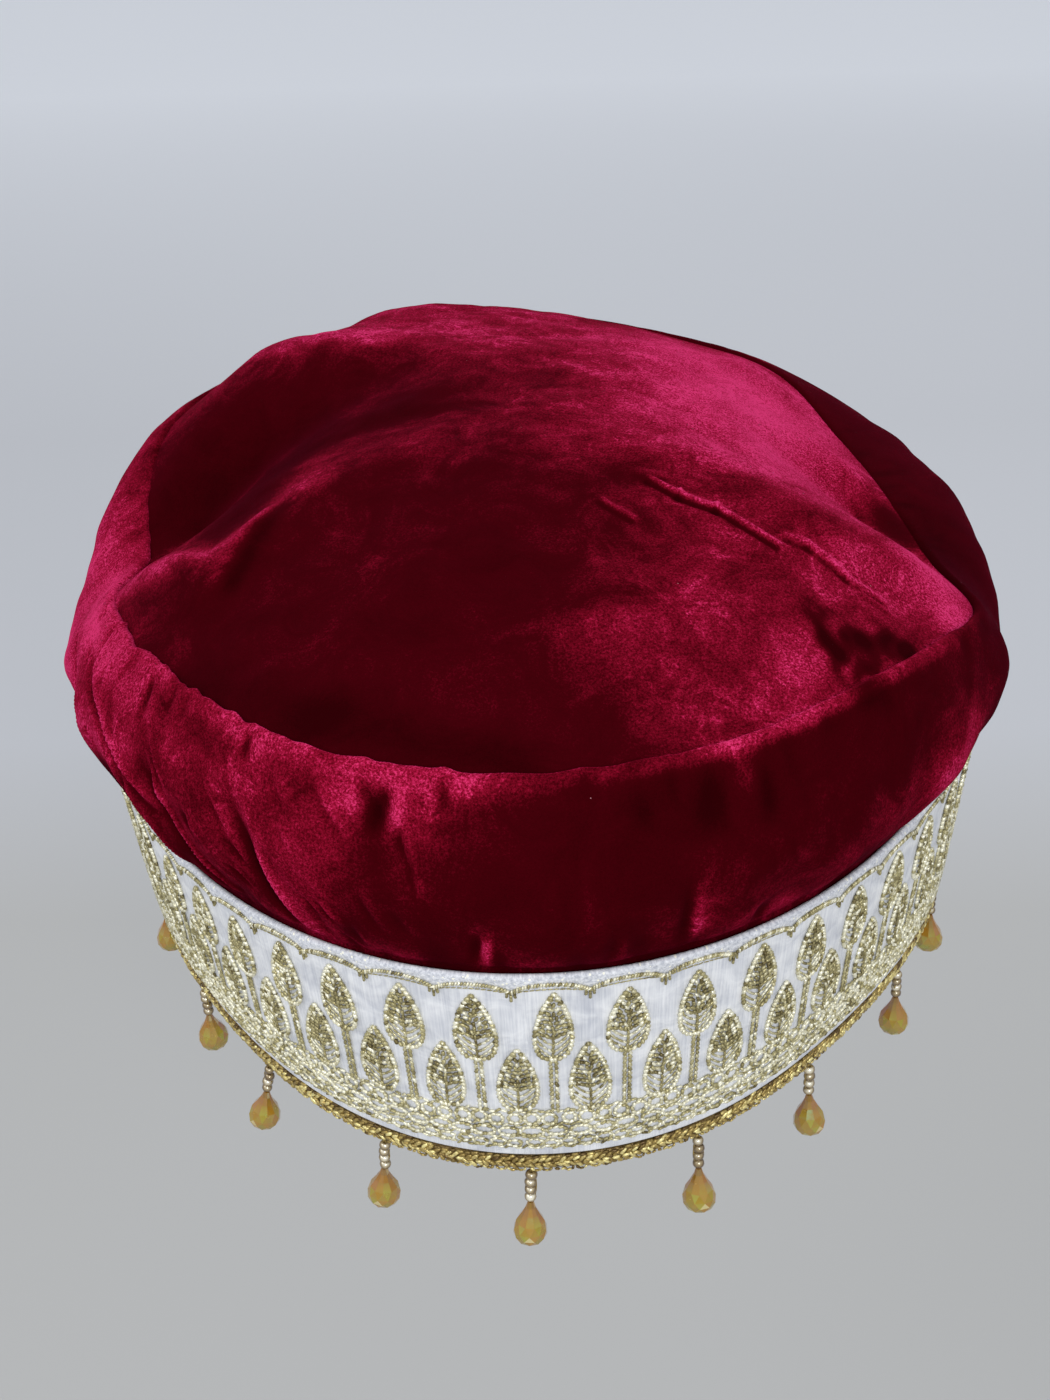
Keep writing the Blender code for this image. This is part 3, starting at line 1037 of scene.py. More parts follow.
@dataclass(frozen=True)
class SeedFinish(Finish):
    """Pearly seed beads with a warm tint, with a painted highlight where they face the eye and darker towards
    their rims.
    """

    dark: tuple = (0.13, 0.075, 0.025)
    middle: tuple = (0.38, 0.29, 0.15)
    bright: tuple = (0.92, 0.87, 0.70)
    painted_gleam: float = 0.42

    def build(self, shared: SharedEffects) -> Material:
        """Write the material.

        Args:
            shared: The groups.

        Returns:
            The material.
        """
        material, shader, principled = self.start()
        facing = shader.node("ShaderNodeLayerWeight").outputs["Facing"]
        # Painted highlight: the tone rises where the bead faces the eye and falls towards its rims
        tone = shader.plus(shader.painted("tone"), shader.remap(facing, 0.02, 0.62, self.painted_gleam, -self.painted_gleam))
        tones = shader.group(
            shared.tones, Vector=shader.place(), Tone=tone, Dark=(*self.dark, 1.0),
            Middle=(*self.middle, 1.0), Bright=(*self.bright, 1.0), Grain_Scale=500.0,
        ).outputs
        shader.fill(
            principled, Base_Color=tones["Color"], Metallic=0.35, Roughness=0.20, Coat_Weight=1.0,
            Coat_Roughness=0.06,
        )
        return material


@dataclass(frozen=True)
class GlassFinish(Finish):
    """Amber glass with a lustre coat: nearly opaque, browner at the top and greener at the bottom."""

    stops: tuple = (
        (0.00, (0.360, 0.190, 0.022)),
        (0.35, (0.500, 0.255, 0.012)),
        (0.62, (0.480, 0.310, 0.014)),
        (0.82, (0.350, 0.320, 0.024)),
        (1.00, (0.270, 0.300, 0.040)),
    )
    rose: tuple = (0.540, 0.225, 0.016)
    lime: tuple = (0.470, 0.510, 0.040)
    painted_facet_highlight: tuple = (0.960, 0.860, 0.400)

    def build(self, shared: SharedEffects) -> Material:
        """Write the material.

        Args:
            shared: The groups; not used.

        Returns:
            The material.
        """
        material, shader, principled = self.start()
        down, facet = shader.painted("down"), shader.painted("facet")
        clouds = shader.noise(shader.place(), 300.0, 3.0, 0.6)
        level = shader.plus(down, shader.times(shader.minus(clouds, 0.5), 0.6))
        rosy = shader.remap(facet, 0.70, 0.90, 0.0, 0.50)
        green = shader.times(shader.remap(facet, 0.12, 0.34, 1.0, 0.0), shader.remap(down, 0.2, 0.8))
        # Painted highlight: a few facets are mixed towards a pale yellow
        bright = shader.times(shader.remap(facet, 0.50, 0.53), shader.remap(facet, 0.60, 0.57))
        colour = shader.blend(rosy, shader.ramp(level, self.stops), self.rose)
        colour = shader.blend(green, colour, self.lime)
        colour = shader.blend(shader.times(bright, 0.7), colour, self.painted_facet_highlight)
        shader.fill(
            principled, Base_Color=colour, Roughness=shader.remap(clouds, 0.35, 0.65, 0.08, 0.30), IOR=1.6,
            Coat_Weight=1.0, Coat_Roughness=0.05, Transmission_Weight=0.30, Specular_IOR_Level=0.6,
            Thin_Film_Thickness=380.0,
        )
        return material


@dataclass(frozen=True)
class FloorFinish:
    """Matte pale floor, a little cooler in the distance."""

    reach: float = 2.5
    stops: tuple = (
        (0.16, (0.48, 0.48, 0.47)),
        (0.23, (0.56, 0.57, 0.595)),
        (0.42, (0.60, 0.61, 0.635)),
        (0.92, (0.93, 0.95, 0.99)),
    )

    def build(self) -> Material:
        """Write the material.

        Returns:
            The material.
        """
        material = bpy.data.materials.new("pale_floor")
        material.use_nodes = True
        shader = NodeWriter(material.node_tree)
        away = shader.split(shader.place()).outputs["Y"]
        colour = shader.ramp(shader.remap(away, 0.0, self.reach), self.stops)
        principled = material.node_tree.nodes["Principled BSDF"]
        shader.fill(principled, Base_Color=colour, Roughness=0.8, Specular_IOR_Level=0.2)
        return material


def new_mesh(name: str, points: list, edges: list, faces: list) -> Mesh:
    """Make a mesh from points in metres, edges and faces.

    Args:
        name: The mesh's name.
        points: Points in metres.
        edges: Pairs of points.
        faces: Rounds of points.

    Returns:
        The mesh.
    """
    mesh = bpy.data.meshes.new(name)
    mesh.from_pydata(points, edges, faces)
    return mesh


def link_mesh(name: str, mesh: Mesh, material: Material | None = None) -> Piece:
    """Put a mesh in the scene as an object.

    Args:
        name: The object's name.
        mesh: Its mesh, already in place.
        material: Its finish.

    Returns:
        The object.
    """
    piece = bpy.data.objects.new(name, mesh)
    if material is not None:
        mesh.materials.clear()
        mesh.materials.append(material)
    bpy.context.scene.collection.objects.link(piece)
    return piece


def cloth_mesh(name: str, grid: Array, ends: tuple = (), lengths: Array | None = None,
               tube: bool = False) -> Mesh:
    """Make a closed cloth wall through rings of points, listed anticlockwise seen from above.

    Args:
        name: The mesh's name.
        grid: Rows of rings of points in millimetres, over the outer face and back over the inner one.
        ends: Two points that close the first ring and the last.
        lengths: Lengths along each ring and up the rows, as rows x columns + 1 x 2, for a UV map.
        tube: Whether the last ring joins the first.

    Returns:
        The mesh, in metres and smooth.
    """
    rows, count, _ = grid.shape
    points = grid.reshape(-1, 3)
    strips = rows if tube else rows - 1
    low = np.arange(strips)[:, None] * count
    high = (low + count) % (rows * count)
    i = np.arange(count)[None, :]
    j = (i + 1) % count
    faces = np.stack([low + i, low + j, high + j, high + i], -1).reshape(-1, 4).tolist()
    if ends:
        last = (rows - 1) * count
        points = np.vstack([points, *ends])
        faces += [((k + 1) % count, k, len(points) - 2) for k in range(count)]
        faces += [(last + k, last + (k + 1) % count, len(points) - 1) for k in range(count)]
    mesh = new_mesh(name, (points * MM).tolist(), [], faces)
    mesh.shade_smooth()
    if lengths is not None:
        row = np.repeat(np.arange(strips), count)
        column = np.tile(np.arange(count), strips)
        corners = [(row, column), (row, column + 1), (row + 1, column + 1), (row + 1, column)]
        uv = np.stack([lengths[r, c] for r, c in corners], 1).reshape(-1, 2) * MM
        mesh.uv_layers.new(name="cloth").data.foreach_set("uv", uv.ravel().astype(np.float32))
    return mesh


def paint(mesh: Mesh, name: str, values: Array) -> None:
    """Store a value for each point of a mesh."""
    attribute = mesh.attributes.new(name, "FLOAT", "POINT")
    attribute.data.foreach_set("value", np.asarray(values, np.float32).ravel())


def place_piece(piece: Piece, slot: Slot, *nodes: str) -> None:
    """Make a piece ride, hide the CAD nodes that it stands for, and log it with its slot.

    Args:
        piece: The finished piece.
        slot: Its material slot.
        nodes: The CAD nodes that it replaces.
    """
    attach(piece, BODY)
    if nodes:
        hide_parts(*nodes)
    LOG.info("%s: %d faces, slot %s", piece.name, len(piece.data.polygons), slot.value)


class NodeTools:
    """Geometry Nodes trees that lay repeats on points and sweep threads along paths."""

    def __init__(self) -> None:
        """Build the trees."""
        self.repeat_tree = self._repeat_tree()
        self.thread_tree = self._thread_tree()

    @staticmethod
    def _tree(name: str, inputs: dict) -> tuple[NodeWriter, Sockets]:
        """Start a tree.

        Args:
            name: The tree's name.
            inputs: The socket kind for each input's name.

        Returns:
            The writer, and the sockets that give the inputs.
        """
        tree = bpy.data.node_groups.new(name, "GeometryNodeTree")
        for label, kind in inputs.items():
            tree.interface.new_socket(label, in_out="INPUT", socket_type=f"NodeSocket{kind}")
        tree.interface.new_socket("Geometry", in_out="OUTPUT", socket_type="NodeSocketGeometry")
        return NodeWriter(tree), tree.nodes.new("NodeGroupInput").outputs

    @staticmethod
    def _named(writer: NodeWriter, name: str) -> Socket:
        """Read a vector that each point carries."""
        node = writer.node("GeometryNodeInputNamedAttribute", data_type="FLOAT_VECTOR")
        return writer.fill(node, Name=name).outputs["Attribute"]

    @staticmethod
    def _random(writer: NodeWriter, kind: str, low: object, high: object, seed: object) -> Socket:
        """A random value between two limits, from the seed input.

        Args:
            writer: The tree's writer.
            kind: What kind of value.
            low: Its lower limit.
            high: Its upper limit.
            seed: The seed.

        Returns:
            The value.
        """
        node = writer.node("FunctionNodeRandomValue", data_type=kind)
        sockets = {socket.name: socket for socket in node.inputs if socket.enabled}
        for name, value in (("Min", low), ("Max", high), ("Seed", seed)):
            writer.feed(sockets[name], value)
        return next(socket for socket in node.outputs if socket.enabled)

    @staticmethod
    def _finish(writer: NodeWriter, geometry: Socket, material: Socket) -> NodeTree:
        """End a tree in Realize Instances and Set Material.

        Args:
            writer: The tree's writer.
            geometry: What was made.
            material: Its finish.

        Returns:
            The tree.
        """
        realize = writer.fill(writer.node("GeometryNodeRealizeInstances"), Geometry=geometry)
        dress = writer.node("GeometryNodeSetMaterial")
        writer.fill(dress, Geometry=realize.outputs["Geometry"], Material=material)
        writer.feed(writer.node("NodeGroupOutput").inputs[0], dress.outputs["Geometry"])
        return writer.tree

    def _repeat_tree(self) -> NodeTree:
        """A motif on each point, turned by the point's own directions and scaled by its own size.

        Returns:
            The tree.
        """
        writer, given = self._tree("motif_on_points", {
            "Geometry": "Geometry", "Motif": "Object", "Tilt Jitter": "Float", "Size Jitter": "Float",
            "Seed": "Int", "Finish": "Material",
        })
        turn = writer.node("FunctionNodeAxesToRotation", primary_axis="Z", secondary_axis="X")
        writer.feed(turn.inputs[0], self._named(writer, "along"))
        writer.feed(turn.inputs[1], self._named(writer, "outward"))
        tilt, jitter, seed = given["Tilt Jitter"], given["Size Jitter"], given["Seed"]
        euler = writer.node("FunctionNodeEulerToRotation")
        wobble = self._random(writer, "FLOAT_VECTOR", writer.times(tilt, -1.0), tilt, seed)
        writer.feed(euler.inputs[0], wobble)
        rotate = writer.node("FunctionNodeRotateRotation", rotation_space="LOCAL")
        writer.feed(rotate.inputs[0], turn.outputs[0])
        writer.feed(rotate.inputs[1], euler.outputs[0])
        swell = self._random(writer, "FLOAT", writer.minus(1.0, jitter), writer.plus(1.0, jitter), seed)
        size = writer.node("ShaderNodeVectorMath", operation="SCALE")
        writer.feed(size.inputs[0], self._named(writer, "size"))
        writer.fill(size, Scale=swell)
        motif = writer.node("GeometryNodeObjectInfo", transform_space="ORIGINAL")
        writer.feed(motif.inputs[0], given["Motif"])
        repeat = writer.fill(
            writer.node("GeometryNodeInstanceOnPoints"), Points=given["Geometry"],
            Instance=motif.outputs["Geometry"], Rotation=rotate.outputs[0], Scale=size.outputs[0],
        )
        return self._finish(writer, repeat.outputs["Instances"], given["Finish"])

    def _thread_tree(self) -> NodeTree:
        """A round thread along each chain of edges.

        Returns:
            The tree.
        """
        writer, given = self._tree("thread_along_paths", {
            "Geometry": "Geometry", "Radius": "Float", "Sides": "Int", "Finish": "Material",
        })
        curve = writer.fill(writer.node("GeometryNodeMeshToCurve"), Mesh=given["Geometry"])
        profile = writer.node("GeometryNodeCurvePrimitiveCircle")
        writer.fill(profile, Resolution=given["Sides"], Radius=given["Radius"])
        sweep = writer.node("GeometryNodeCurveToMesh")
        writer.fill(
            sweep, Curve=curve.outputs["Curve"], Profile_Curve=profile.outputs["Curve"], Fill_Caps=True,
        )
        return self._finish(writer, sweep.outputs["Mesh"], given["Finish"])

    @staticmethod
    def _run(name: str, mesh: Mesh, tree: NodeTree, values: dict) -> Piece:
        """Put a tree on a mesh, set its inputs by identifier and keep the result as a plain mesh.

        Args:
            name: The piece's name.
            mesh: The points or paths.
            tree: The tree.
            values: The inputs by name.

        Returns:
            The piece.
        """
        source = link_mesh(name + "_source", mesh)
        modifier = source.modifiers.new("nodes", "NODES")
        modifier.node_group = tree
        for item in tree.interface.items_tree:
            if item.item_type == "SOCKET" and item.in_out == "INPUT" and item.name in values:
                modifier[item.identifier] = values[item.name]
        depsgraph = bpy.context.evaluated_depsgraph_get()
        made = bpy.data.meshes.new_from_object(source.evaluated_get(depsgraph), depsgraph=depsgraph)
        made.name = name
        for extra in ("along", "outward", "size"):
            if extra in made.attributes:
                made.attributes.remove(made.attributes[extra])
        bpy.data.objects.remove(source)
        return link_mesh(name, made)

    def repeat(self, name: str, field_of: "RepeatField", motif: Mesh, material: Material,
               seed: int, tilt: float = 0.0, swell: float = 0.0) -> Piece:
        """Lay a motif on every point of a field.

        Args:
            name: The piece's name.
            field_of: The points with their directions, sizes and tones.
            motif: The motif's mesh, with Z along and X out.
            material: The finish.
            seed: Seed of the tilt and the size.
            tilt: Random tilt in radians.
            swell: Random share of size.

        Returns:
            The piece.
        """
        holder = link_mesh(name + "_motif", motif)
        piece = self._run(name, field_of.mesh(name), self.repeat_tree, {
            "Motif": holder, "Tilt Jitter": tilt, "Size Jitter": swell, "Seed": seed, "Finish": material,
        })
        bpy.data.objects.remove(holder)
        return piece

    def threads(self, name: str, paths: list, tones: list, radius: float, sides: int,
                material: Material, closed: bool = False) -> Piece:
        """Sweep a round thread along paths.

        Args:
            name: The piece's name.
            paths: Arrays of points in millimetres.
            tones: One tone for each path.
            radius: The thread's radius in millimetres.
            sides: How many sides it has.
            material: The finish.
            closed: Whether each path closes on itself.

        Returns:
            The piece.
        """
        points, edges, shades = [], [], []
        for path, tone in zip(paths, tones):
            first = len(points)
            points += (np.asarray(path) * MM).tolist()
            edges += [(first + i, first + i + 1) for i in range(len(path) - 1)]
            if closed:
                edges.append((len(points) - 1, first))
            shades += [tone] * len(path)
        mesh = new_mesh(name, points, edges, [])
        paint(mesh, "tone", shades)
        values = {"Radius": radius * MM, "Sides": sides, "Finish": material}
        piece = self._run(name, mesh, self.thread_tree, values)
        piece.data.shade_smooth()
        return piece


@dataclass
class RepeatField:
    """Points that each carry a motif: where, which way, how large and what tone."""

    places: list = field(default_factory=list)
    along: list = field(default_factory=list)
    outward: list = field(default_factory=list)
    sizes: list = field(default_factory=list)
    tones: list = field(default_factory=list)

    def add(self, places: Array, along: Array, outward: Array, sizes: Array, tones: Array) -> None:
        """Add points, one row each, with sizes in millimetres as out, across and along.

        Args:
            places: Points in millimetres.
            along: Which way each motif runs.
            outward: Which way it faces.
            sizes: Its size out, across and along.
            tones: Its tone.
        """
        count = len(places)
        self.places.append(np.asarray(places, float))
        self.along.append(np.asarray(along, float))
        self.outward.append(np.asarray(outward, float))
        self.sizes.append(np.broadcast_to(np.asarray(sizes, float), (count, 3)))
        self.tones.append(np.broadcast_to(np.asarray(tones, float), (count,)))

    def mesh(self, name: str) -> Mesh:
        """Make the points' mesh with its attributes.

        Args:
            name: The mesh's name.

        Returns:
            The mesh.
        """
        mesh = new_mesh(name, (np.vstack(self.places) * MM).tolist(), [], [])
        sizes = np.vstack(self.sizes) * MM
        for label, rows in (("along", self.along), ("outward", self.outward), ("size", sizes)):
            attribute = mesh.attributes.new(label, "FLOAT_VECTOR", "POINT")
            attribute.data.foreach_set("vector", np.vstack(rows).astype(np.float32).ravel())
        paint(mesh, "tone", np.concatenate(self.tones))
        return mesh


def ring(radius: float, height: float, sides: int, turned: float = 0.0) -> list:
    """Points of a level ring about Z, turned by a share of a side."""
    turns = [2 * math.pi * (i + turned) / sides for i in range(sides)]
    return [(radius * math.cos(t), radius * math.sin(t), height) for t in turns]


def lathe(name: str, outline: tuple, sides: int) -> Mesh:
    """Turn an outline about Z into a closed, smooth motif.

    Args:
        name: The mesh's name.
        outline: Rows of height and radius, from top to bottom; a radius of 0 closes an end.
        sides: How many sides it has.

    Returns:
        The mesh.
    """
    points, faces, rings = [], [], []
    for height, radius in outline:
        made = ring(radius, height, sides) if radius else [(0.0, 0.0, height)]
        rings.append(range(len(points), len(points) + len(made)))
        points += made
    for above, below in zip(rings, rings[1:]):
        for i in range(sides):
            j = (i + 1) % sides
            corners = ((above, i), (below, i), (below, j), (above, j))
            faces.append(tuple(dict.fromkeys(level[k % len(level)] for level, k in corners)))
    mesh = new_mesh(name, points, [], faces)
    mesh.shade_smooth()
    return mesh


def grain_motif(sides: int = 5) -> Mesh:
    """A satin stitch as a plump grain one unit long, with Z along it."""
    outline = ((0.5, 0.0), (0.24, 0.46), (-0.24, 0.46), (-0.5, 0.0))
    return lathe("stitch_grain", outline, sides)


def close_columns(count: int, low: float, high: float, share: float) -> Array:
    """Angles round the cap, with a share of them set close together in one stretch.

    Args:
        count: How many angles there are.
        low: Where the close stretch starts, in degrees.
        high: Where it ends.
        share: The share of the angles that lie in it.

    Returns:
        The angles in degrees.
    """
    close = int(count * share)
    near = np.linspace(low, high, close, endpoint=False)
    far = np.linspace(high, low + 360, count - close, endpoint=False)
    return np.concatenate([near, far])


@dataclass
class VelvetCrown:
    """The tip and the side panel of crushed velvet."""

    shape: CapShape
    tip_columns: int = 420
    tip_rows: int = 128
    tip_lining_rows: int = 24
    # Where the tip puffs up beside its edge: middle and spread in degrees, and strength
    puff: tuple = (-150.0, 52.0, 7.0)
    # Where it is lifted at the back: the place in plan, its reach and its height
    back_lift: tuple = (-40.0, 70.0, 26.0, 1.8)
    raggedness: float = 0.7
    side_columns: int = 600
    side_rows: int = 66
    side_lining_rows: int = 16
    tuck_rows: int = 3
    roll_steps: tuple = (30, 60, 90, 120, 150)
    roll_radius: float = 1.3
    gather_count: int = 64
    gather_seed: int = 11
    crinkle_count: int = 60
    crinkle_seed: int = 17

    def _tip_face(self, angle: Array, share: Array, wall: float) -> tuple[Array, Array]:
        """A face of the tip with its creases.

        Args:
            angle: Angles in degrees.
            share: Shares of the way from the middle to the edge.
            wall: How far the face lies inside the outer one.

        Returns:
            The points, and the painted light and shade of the creases: bright along each crease, dark along
            its shaded side.
        """
        grid = self.shape.tip_point(angle, share)
        x, y = grid[..., 0], grid[..., 1]
        crease, shade = np.zeros_like(x), np.zeros_like(x)
        for x0, y0, x1, y1, width, height in TIP_CREASES:
            away, _ = line_distance(x, y, x0, y0, x1, y1)
            crease += height * hump(away / width)
            right, front = 1.5 * width * np.array([y1 - y0, x0 - x1]) / math.hypot(x1 - x0, y1 - y0)
            away, _ = line_distance(x, y, x0 + right, y0 + front, x1 + right, y1 + front)
            shade += height * hump(away / width)
        flat = np.stack([x, y, 0 * x], -1)
        uneven = 0.50 * ripple(flat, 34.0, 3) + 0.20 * ripple(flat, 13.0, 4) + 0.06 * ripple(flat, 5.0, 5)
        middle, spread, rise = self.puff
        around = wrapped(angle - middle) / spread
        puff = rise * np.exp(-(around**4)) * 4 * share**3 * (1 - share)
        fade = np.minimum((1 - share) * 9.0, 1.0)
        left, back, reach, lift = self.back_lift
        puff = puff + lift * np.exp(-(((x - left) ** 2 + (y - back) ** 2) / reach**2)) * fade
        grid[..., 2] += (crease - 0.3 * shade + uneven) * fade + puff - wall
        return grid, (crease - shade) * fade

    def build_tip(self, material: Material) -> Piece:
        """Make the tip with its creases and its painted light and shade.

        Args:
            material: The velvet.

        Returns:
            The tip.
        """
        angle = close_columns(self.tip_columns, 10, 70, 0.34)[None, :]
        share = np.linspace(1, 0, self.tip_rows, endpoint=False)[:, None]
        lined = np.linspace(1, 0, self.tip_lining_rows, endpoint=False)[::-1, None]
        outer, crease = self._tip_face(angle, share, 0.0)
        inner, _ = self._tip_face(angle, lined, self.shape.velvet_wall)
        grid = np.concatenate([inner, outer])
        ends = [np.array([0.0, 0.0, float(row[:, 2].mean())]) for row in (grid[0], grid[-1])]
        mesh = cloth_mesh("velvet_tip", grid, tuple(ends))
        x, y = grid[..., 0], grid[..., 1]
        nap, rough = np.zeros_like(x), ripple(grid, 4.5, 15)
        # Painted light and shade from the table; small places get ragged edges like fold shadows
        for x0, y0, x1, y1, radius, strength in TIP_PAINTED_LIGHT:
            away, _ = line_distance(x, y, x0, y0, x1, y1)
            ragged = np.clip(1 + self.raggedness * rough, 0, 2) if radius < 4 else 1.0
            nap += strength * ragged * hump(away / radius)
        # Painted highlight along the tip's edge, and the creases' painted light and shade
        edge_glint = hump((1 - share) / 0.013) * hump((angle - 34) / 20)
        nap[len(inner):] += 0.40 * crease + 0.42 * edge_glint
        paint(mesh, "nap", np.concatenate([nap.ravel(), [0.0, nap[-1].mean()]]))
        return link_mesh("velvet_tip", mesh, material)

    def _gathers(self) -> list:
        """Draw small gathers above the band and at the seam.

        Returns:
            Folds, in the columns of the side panel's folds.
        """
        draw = np.random.default_rng(self.gather_seed)
        rows = []
        for middle in np.linspace(-180, 180, self.gather_count, endpoint=False):
            low = middle + draw.uniform(-2.4, 2.4)
            rows.append((low, low + draw.uniform(-3, 3), -0.12, draw.uniform(0.18, 0.5),
                         draw.uniform(0.8, 1.6), draw.uniform(0.1, 0.7)))
            high = middle + draw.uniform(-2.8, 2.8)
            rows.append((high + draw.uniform(-4, 4), high, draw.uniform(0.82, 0.92), 1.06,
                         draw.uniform(0.6, 1.2), draw.uniform(0.1, 0.5)))
        return rows

    def _crinkles(self) -> list:
        """Draw short narrow crinkles of crushed velvet on the left of the front.

        Returns:
            Folds, in the columns of the side panel's folds.
        """
        draw = np.random.default_rng(self.crinkle_seed)
        rows = []
        for _ in range(self.crinkle_count):
            middle, level = draw.uniform(-70, -6), draw.uniform(0.08, 0.92)
            length = draw.uniform(0.10, 0.30)
            slant = draw.uniform(8, 26) * (0.35 if middle > -18 else 1.0)
            foot = level - length / 2
            low = middle + slant * level
            width, depth = draw.uniform(0.40, 0.70), draw.uniform(0.25, 0.75)
            for start, deep in ((low, depth), (low + 1.5 * width, -0.8 * depth)):
                rows.append((start, start - slant, foot, foot + length, width, deep))
        return rows

    def _side_face(self, angle: Array, share: Array, wall: float) -> tuple[Array, Array]:
        """A face of the side panel with its creases.

        Args:
            angle: Angles in degrees.
            share: Shares of the way from band to seam.
            wall: How far the face lies inside the outer one.

        Returns:
            The points, and how far the creases sink them.
        """
        shape = self.shape
        turns, level = np.broadcast_arrays(angle, share)
        tables = (SIDE_CREASES, self._gathers(), self._crinkles())
        creases, gathers, crinkles = (shape.fold_depth(table, turns, level) for table in tables)
        crease = creases + gathers + crinkles
        smooth_face = shape.side_point(turns, level, 0.0)
        uneven = 0.45 * ripple(smooth_face, 26.0, 7) + 0.20 * ripple(smooth_face, 10.0, 8)
        uneven = uneven * np.sin(math.pi * np.clip(level, 0.04, 0.96))
        return shape.side_point(turns, level, crease + uneven + wall), crease

    def build_side(self, material: Material) -> Piece:
        """Make the side panel: its tuck in the band, its bulge and the roll at the seam.

        Args:
            material: The velvet.

        Returns:
            The side panel.
        """
        shape = self.shape
        angle = close_columns(self.side_columns, -80, 34, 0.56)
        share = np.linspace(0, 1, self.side_rows + 1)[:, None]
        lined = np.linspace(0.94, 0, self.side_lining_rows)[:, None]
        bulge, crease = self._side_face(angle[None, :], share, 0.0)
        lining, _ = self._side_face(angle[None, :], lined, shape.velvet_wall)
        drops = np.linspace(shape.tuck, 0, self.tuck_rows, endpoint=False)
        tucks = [self._tuck_ring(angle, drop, 0.0) for drop in drops]
        lined_tucks = [self._tuck_ring(angle, drop, 1.0) for drop in drops[::-1]]
        roll = self._roll(angle, bulge)
        grid = np.concatenate([np.stack(tucks), bulge, roll, lining, np.stack(lined_tucks)])
        mesh = cloth_mesh("velvet_side", grid, tube=True)
        levels = np.concatenate([np.zeros(self.tuck_rows), share[:, 0], np.ones(len(roll))])
        nap = np.zeros(grid.shape[:2])
        # Painted light and shade from the table, then painted shade in the creases' hollows and painted light
        # on their raised sides
        for middle, level, wide, tall, strength in SIDE_PAINTED_LIGHT:
            across = wrapped(angle[None, :] - middle)
            spread = -((across / wide) ** 2) - ((levels[:, None] - level) / tall) ** 2
            nap[: len(levels)] += strength * np.exp(spread)
        nap[self.tuck_rows: self.tuck_rows + len(bulge)] -= 0.30 * crease
        paint(mesh, "nap", nap)
        return link_mesh("velvet_side", mesh, material)

    def _tuck_ring(self, angle: Array, drop: float, wall: float) -> Array:
        """A ring of the part that is tucked into the band, below the band's top edge by a drop.

        Args:
            angle: The columns' angles in degrees.
            drop: How far below the edge it lies.
            wall: How far inside the outer face.

        Returns:
            The points.
        """
        height = self.shape.top(angle) - drop
        inset = self.shape.band_wall + self.shape.gap + wall
        return polar(angle, self.shape.band_radius(angle, height) - inset, height)

    def _roll(self, angle: Array, bulge: Array) -> Array:
        """Turn the panel's top edge over into the seam.

        Args:
            angle: The columns' angles in degrees.
            bulge: The bulge's rows of points.

        Returns:
            More rows of points.
        """
        last, before = bulge[-1], bulge[-4]
        climb = unit(last - before)
        outward = polar(angle, np.ones_like(angle), 0.0)
        outward[:, 2] = 0.0
        outward = unit(outward - (outward * climb).sum(-1, keepdims=True) * climb)
        left = hump(wrapped(angle + 42) / 46)
        lumps = 0.6 * ripple(last, 13.0, 12) + 0.35 * ripple(last, 6.0, 13)
        rise = (self.roll_radius * (1 + left * (0.5 + 0.7 * lumps)))[:, None]
        centre = last - outward * self.roll_radius
        rows = []
        for degrees in self.roll_steps:
            turn = math.radians(degrees)
            across = self.roll_radius * math.cos(turn)
            rows.append(centre + outward * across + climb * rise * math.sin(turn))
        return np.stack(rows)

    def dress(self, shared: SharedEffects) -> None:
        """Args:
            shared: The shader groups.
        """
        finish = VelvetFinish("tip_velvet", Slot.TIP, pinkness=0.2)
        tip = self.build_tip(finish.build(shared))
        place_piece(tip, finish.slot, "crown_tip")
        finish = VelvetFinish("side_velvet", Slot.SIDE, painted_sheen_gain=0.16, pinkness=0.1)
        side = self.build_side(finish.build(shared))
        place_piece(side, finish.slot, "side_panel")


@dataclass
class SatinBand:
    """The white satin band with rounded edges."""

    shape: CapShape
    columns: int = 360
    face_rows: int = 20
    edge_radius: float = 0.75
    edge_turns: tuple = (90, 60, 30)
    pucker: float = 0.10

    def build(self, material: Material) -> Piece:
        """Make the band as one closed, rounded section swept round the head.

        Args:
            material: The satin.

        Returns:
            The band.
        """
        shape, radius = self.shape, self.edge_radius
        angle = np.linspace(0, 360, self.columns, endpoint=False)
        rim, top = shape.column("rim_height", angle), shape.top(angle)
        heights = np.linspace(radius, shape.band_top - radius, self.face_rows + 1)
        edge = [
            (-radius * (1 - math.cos(math.radians(t))), radius * (1 - math.sin(math.radians(t))))
            for t in self.edge_turns
        ]
        face = edge + [(0.0, height) for height in heights]
        face += [(out, shape.band_top - height) for out, height in edge[::-1]]
        back = [(-shape.band_wall - out, height) for out, height in face[::-1] if height not in heights[1:-1]]
        rows = []
        for out, height in face + back:
            z = rim + height * (top - rim) / shape.band_top
            waves = self.pucker * np.sin(np.radians(angle) * 45 + height * 0.3) if out == 0.0 else 0.0
            rows.append(polar(angle, shape.band_radius(angle, z) + out + waves, z))
        band_map = BandMap(shape)
        along = np.append(np.interp(angle, band_map.angles, band_map.lengths), band_map.total)
        up = np.array([height for _, height in face + back + face[:1]])
        flat = np.stack(np.broadcast_arrays(along[None, :], up[:, None]), -1)
        mesh = cloth_mesh("band_satin", np.stack(rows), lengths=flat, tube=True)
        return link_mesh("band_satin", mesh, material)

    def dress(self, shared: SharedEffects) -> None:
        """Args:
            shared: The shader groups.
        """
        finish = SatinFinish("white_satin", Slot.SATIN)
        band = self.build(finish.build(shared))
        place_piece(band, finish.slot, "trim_band")


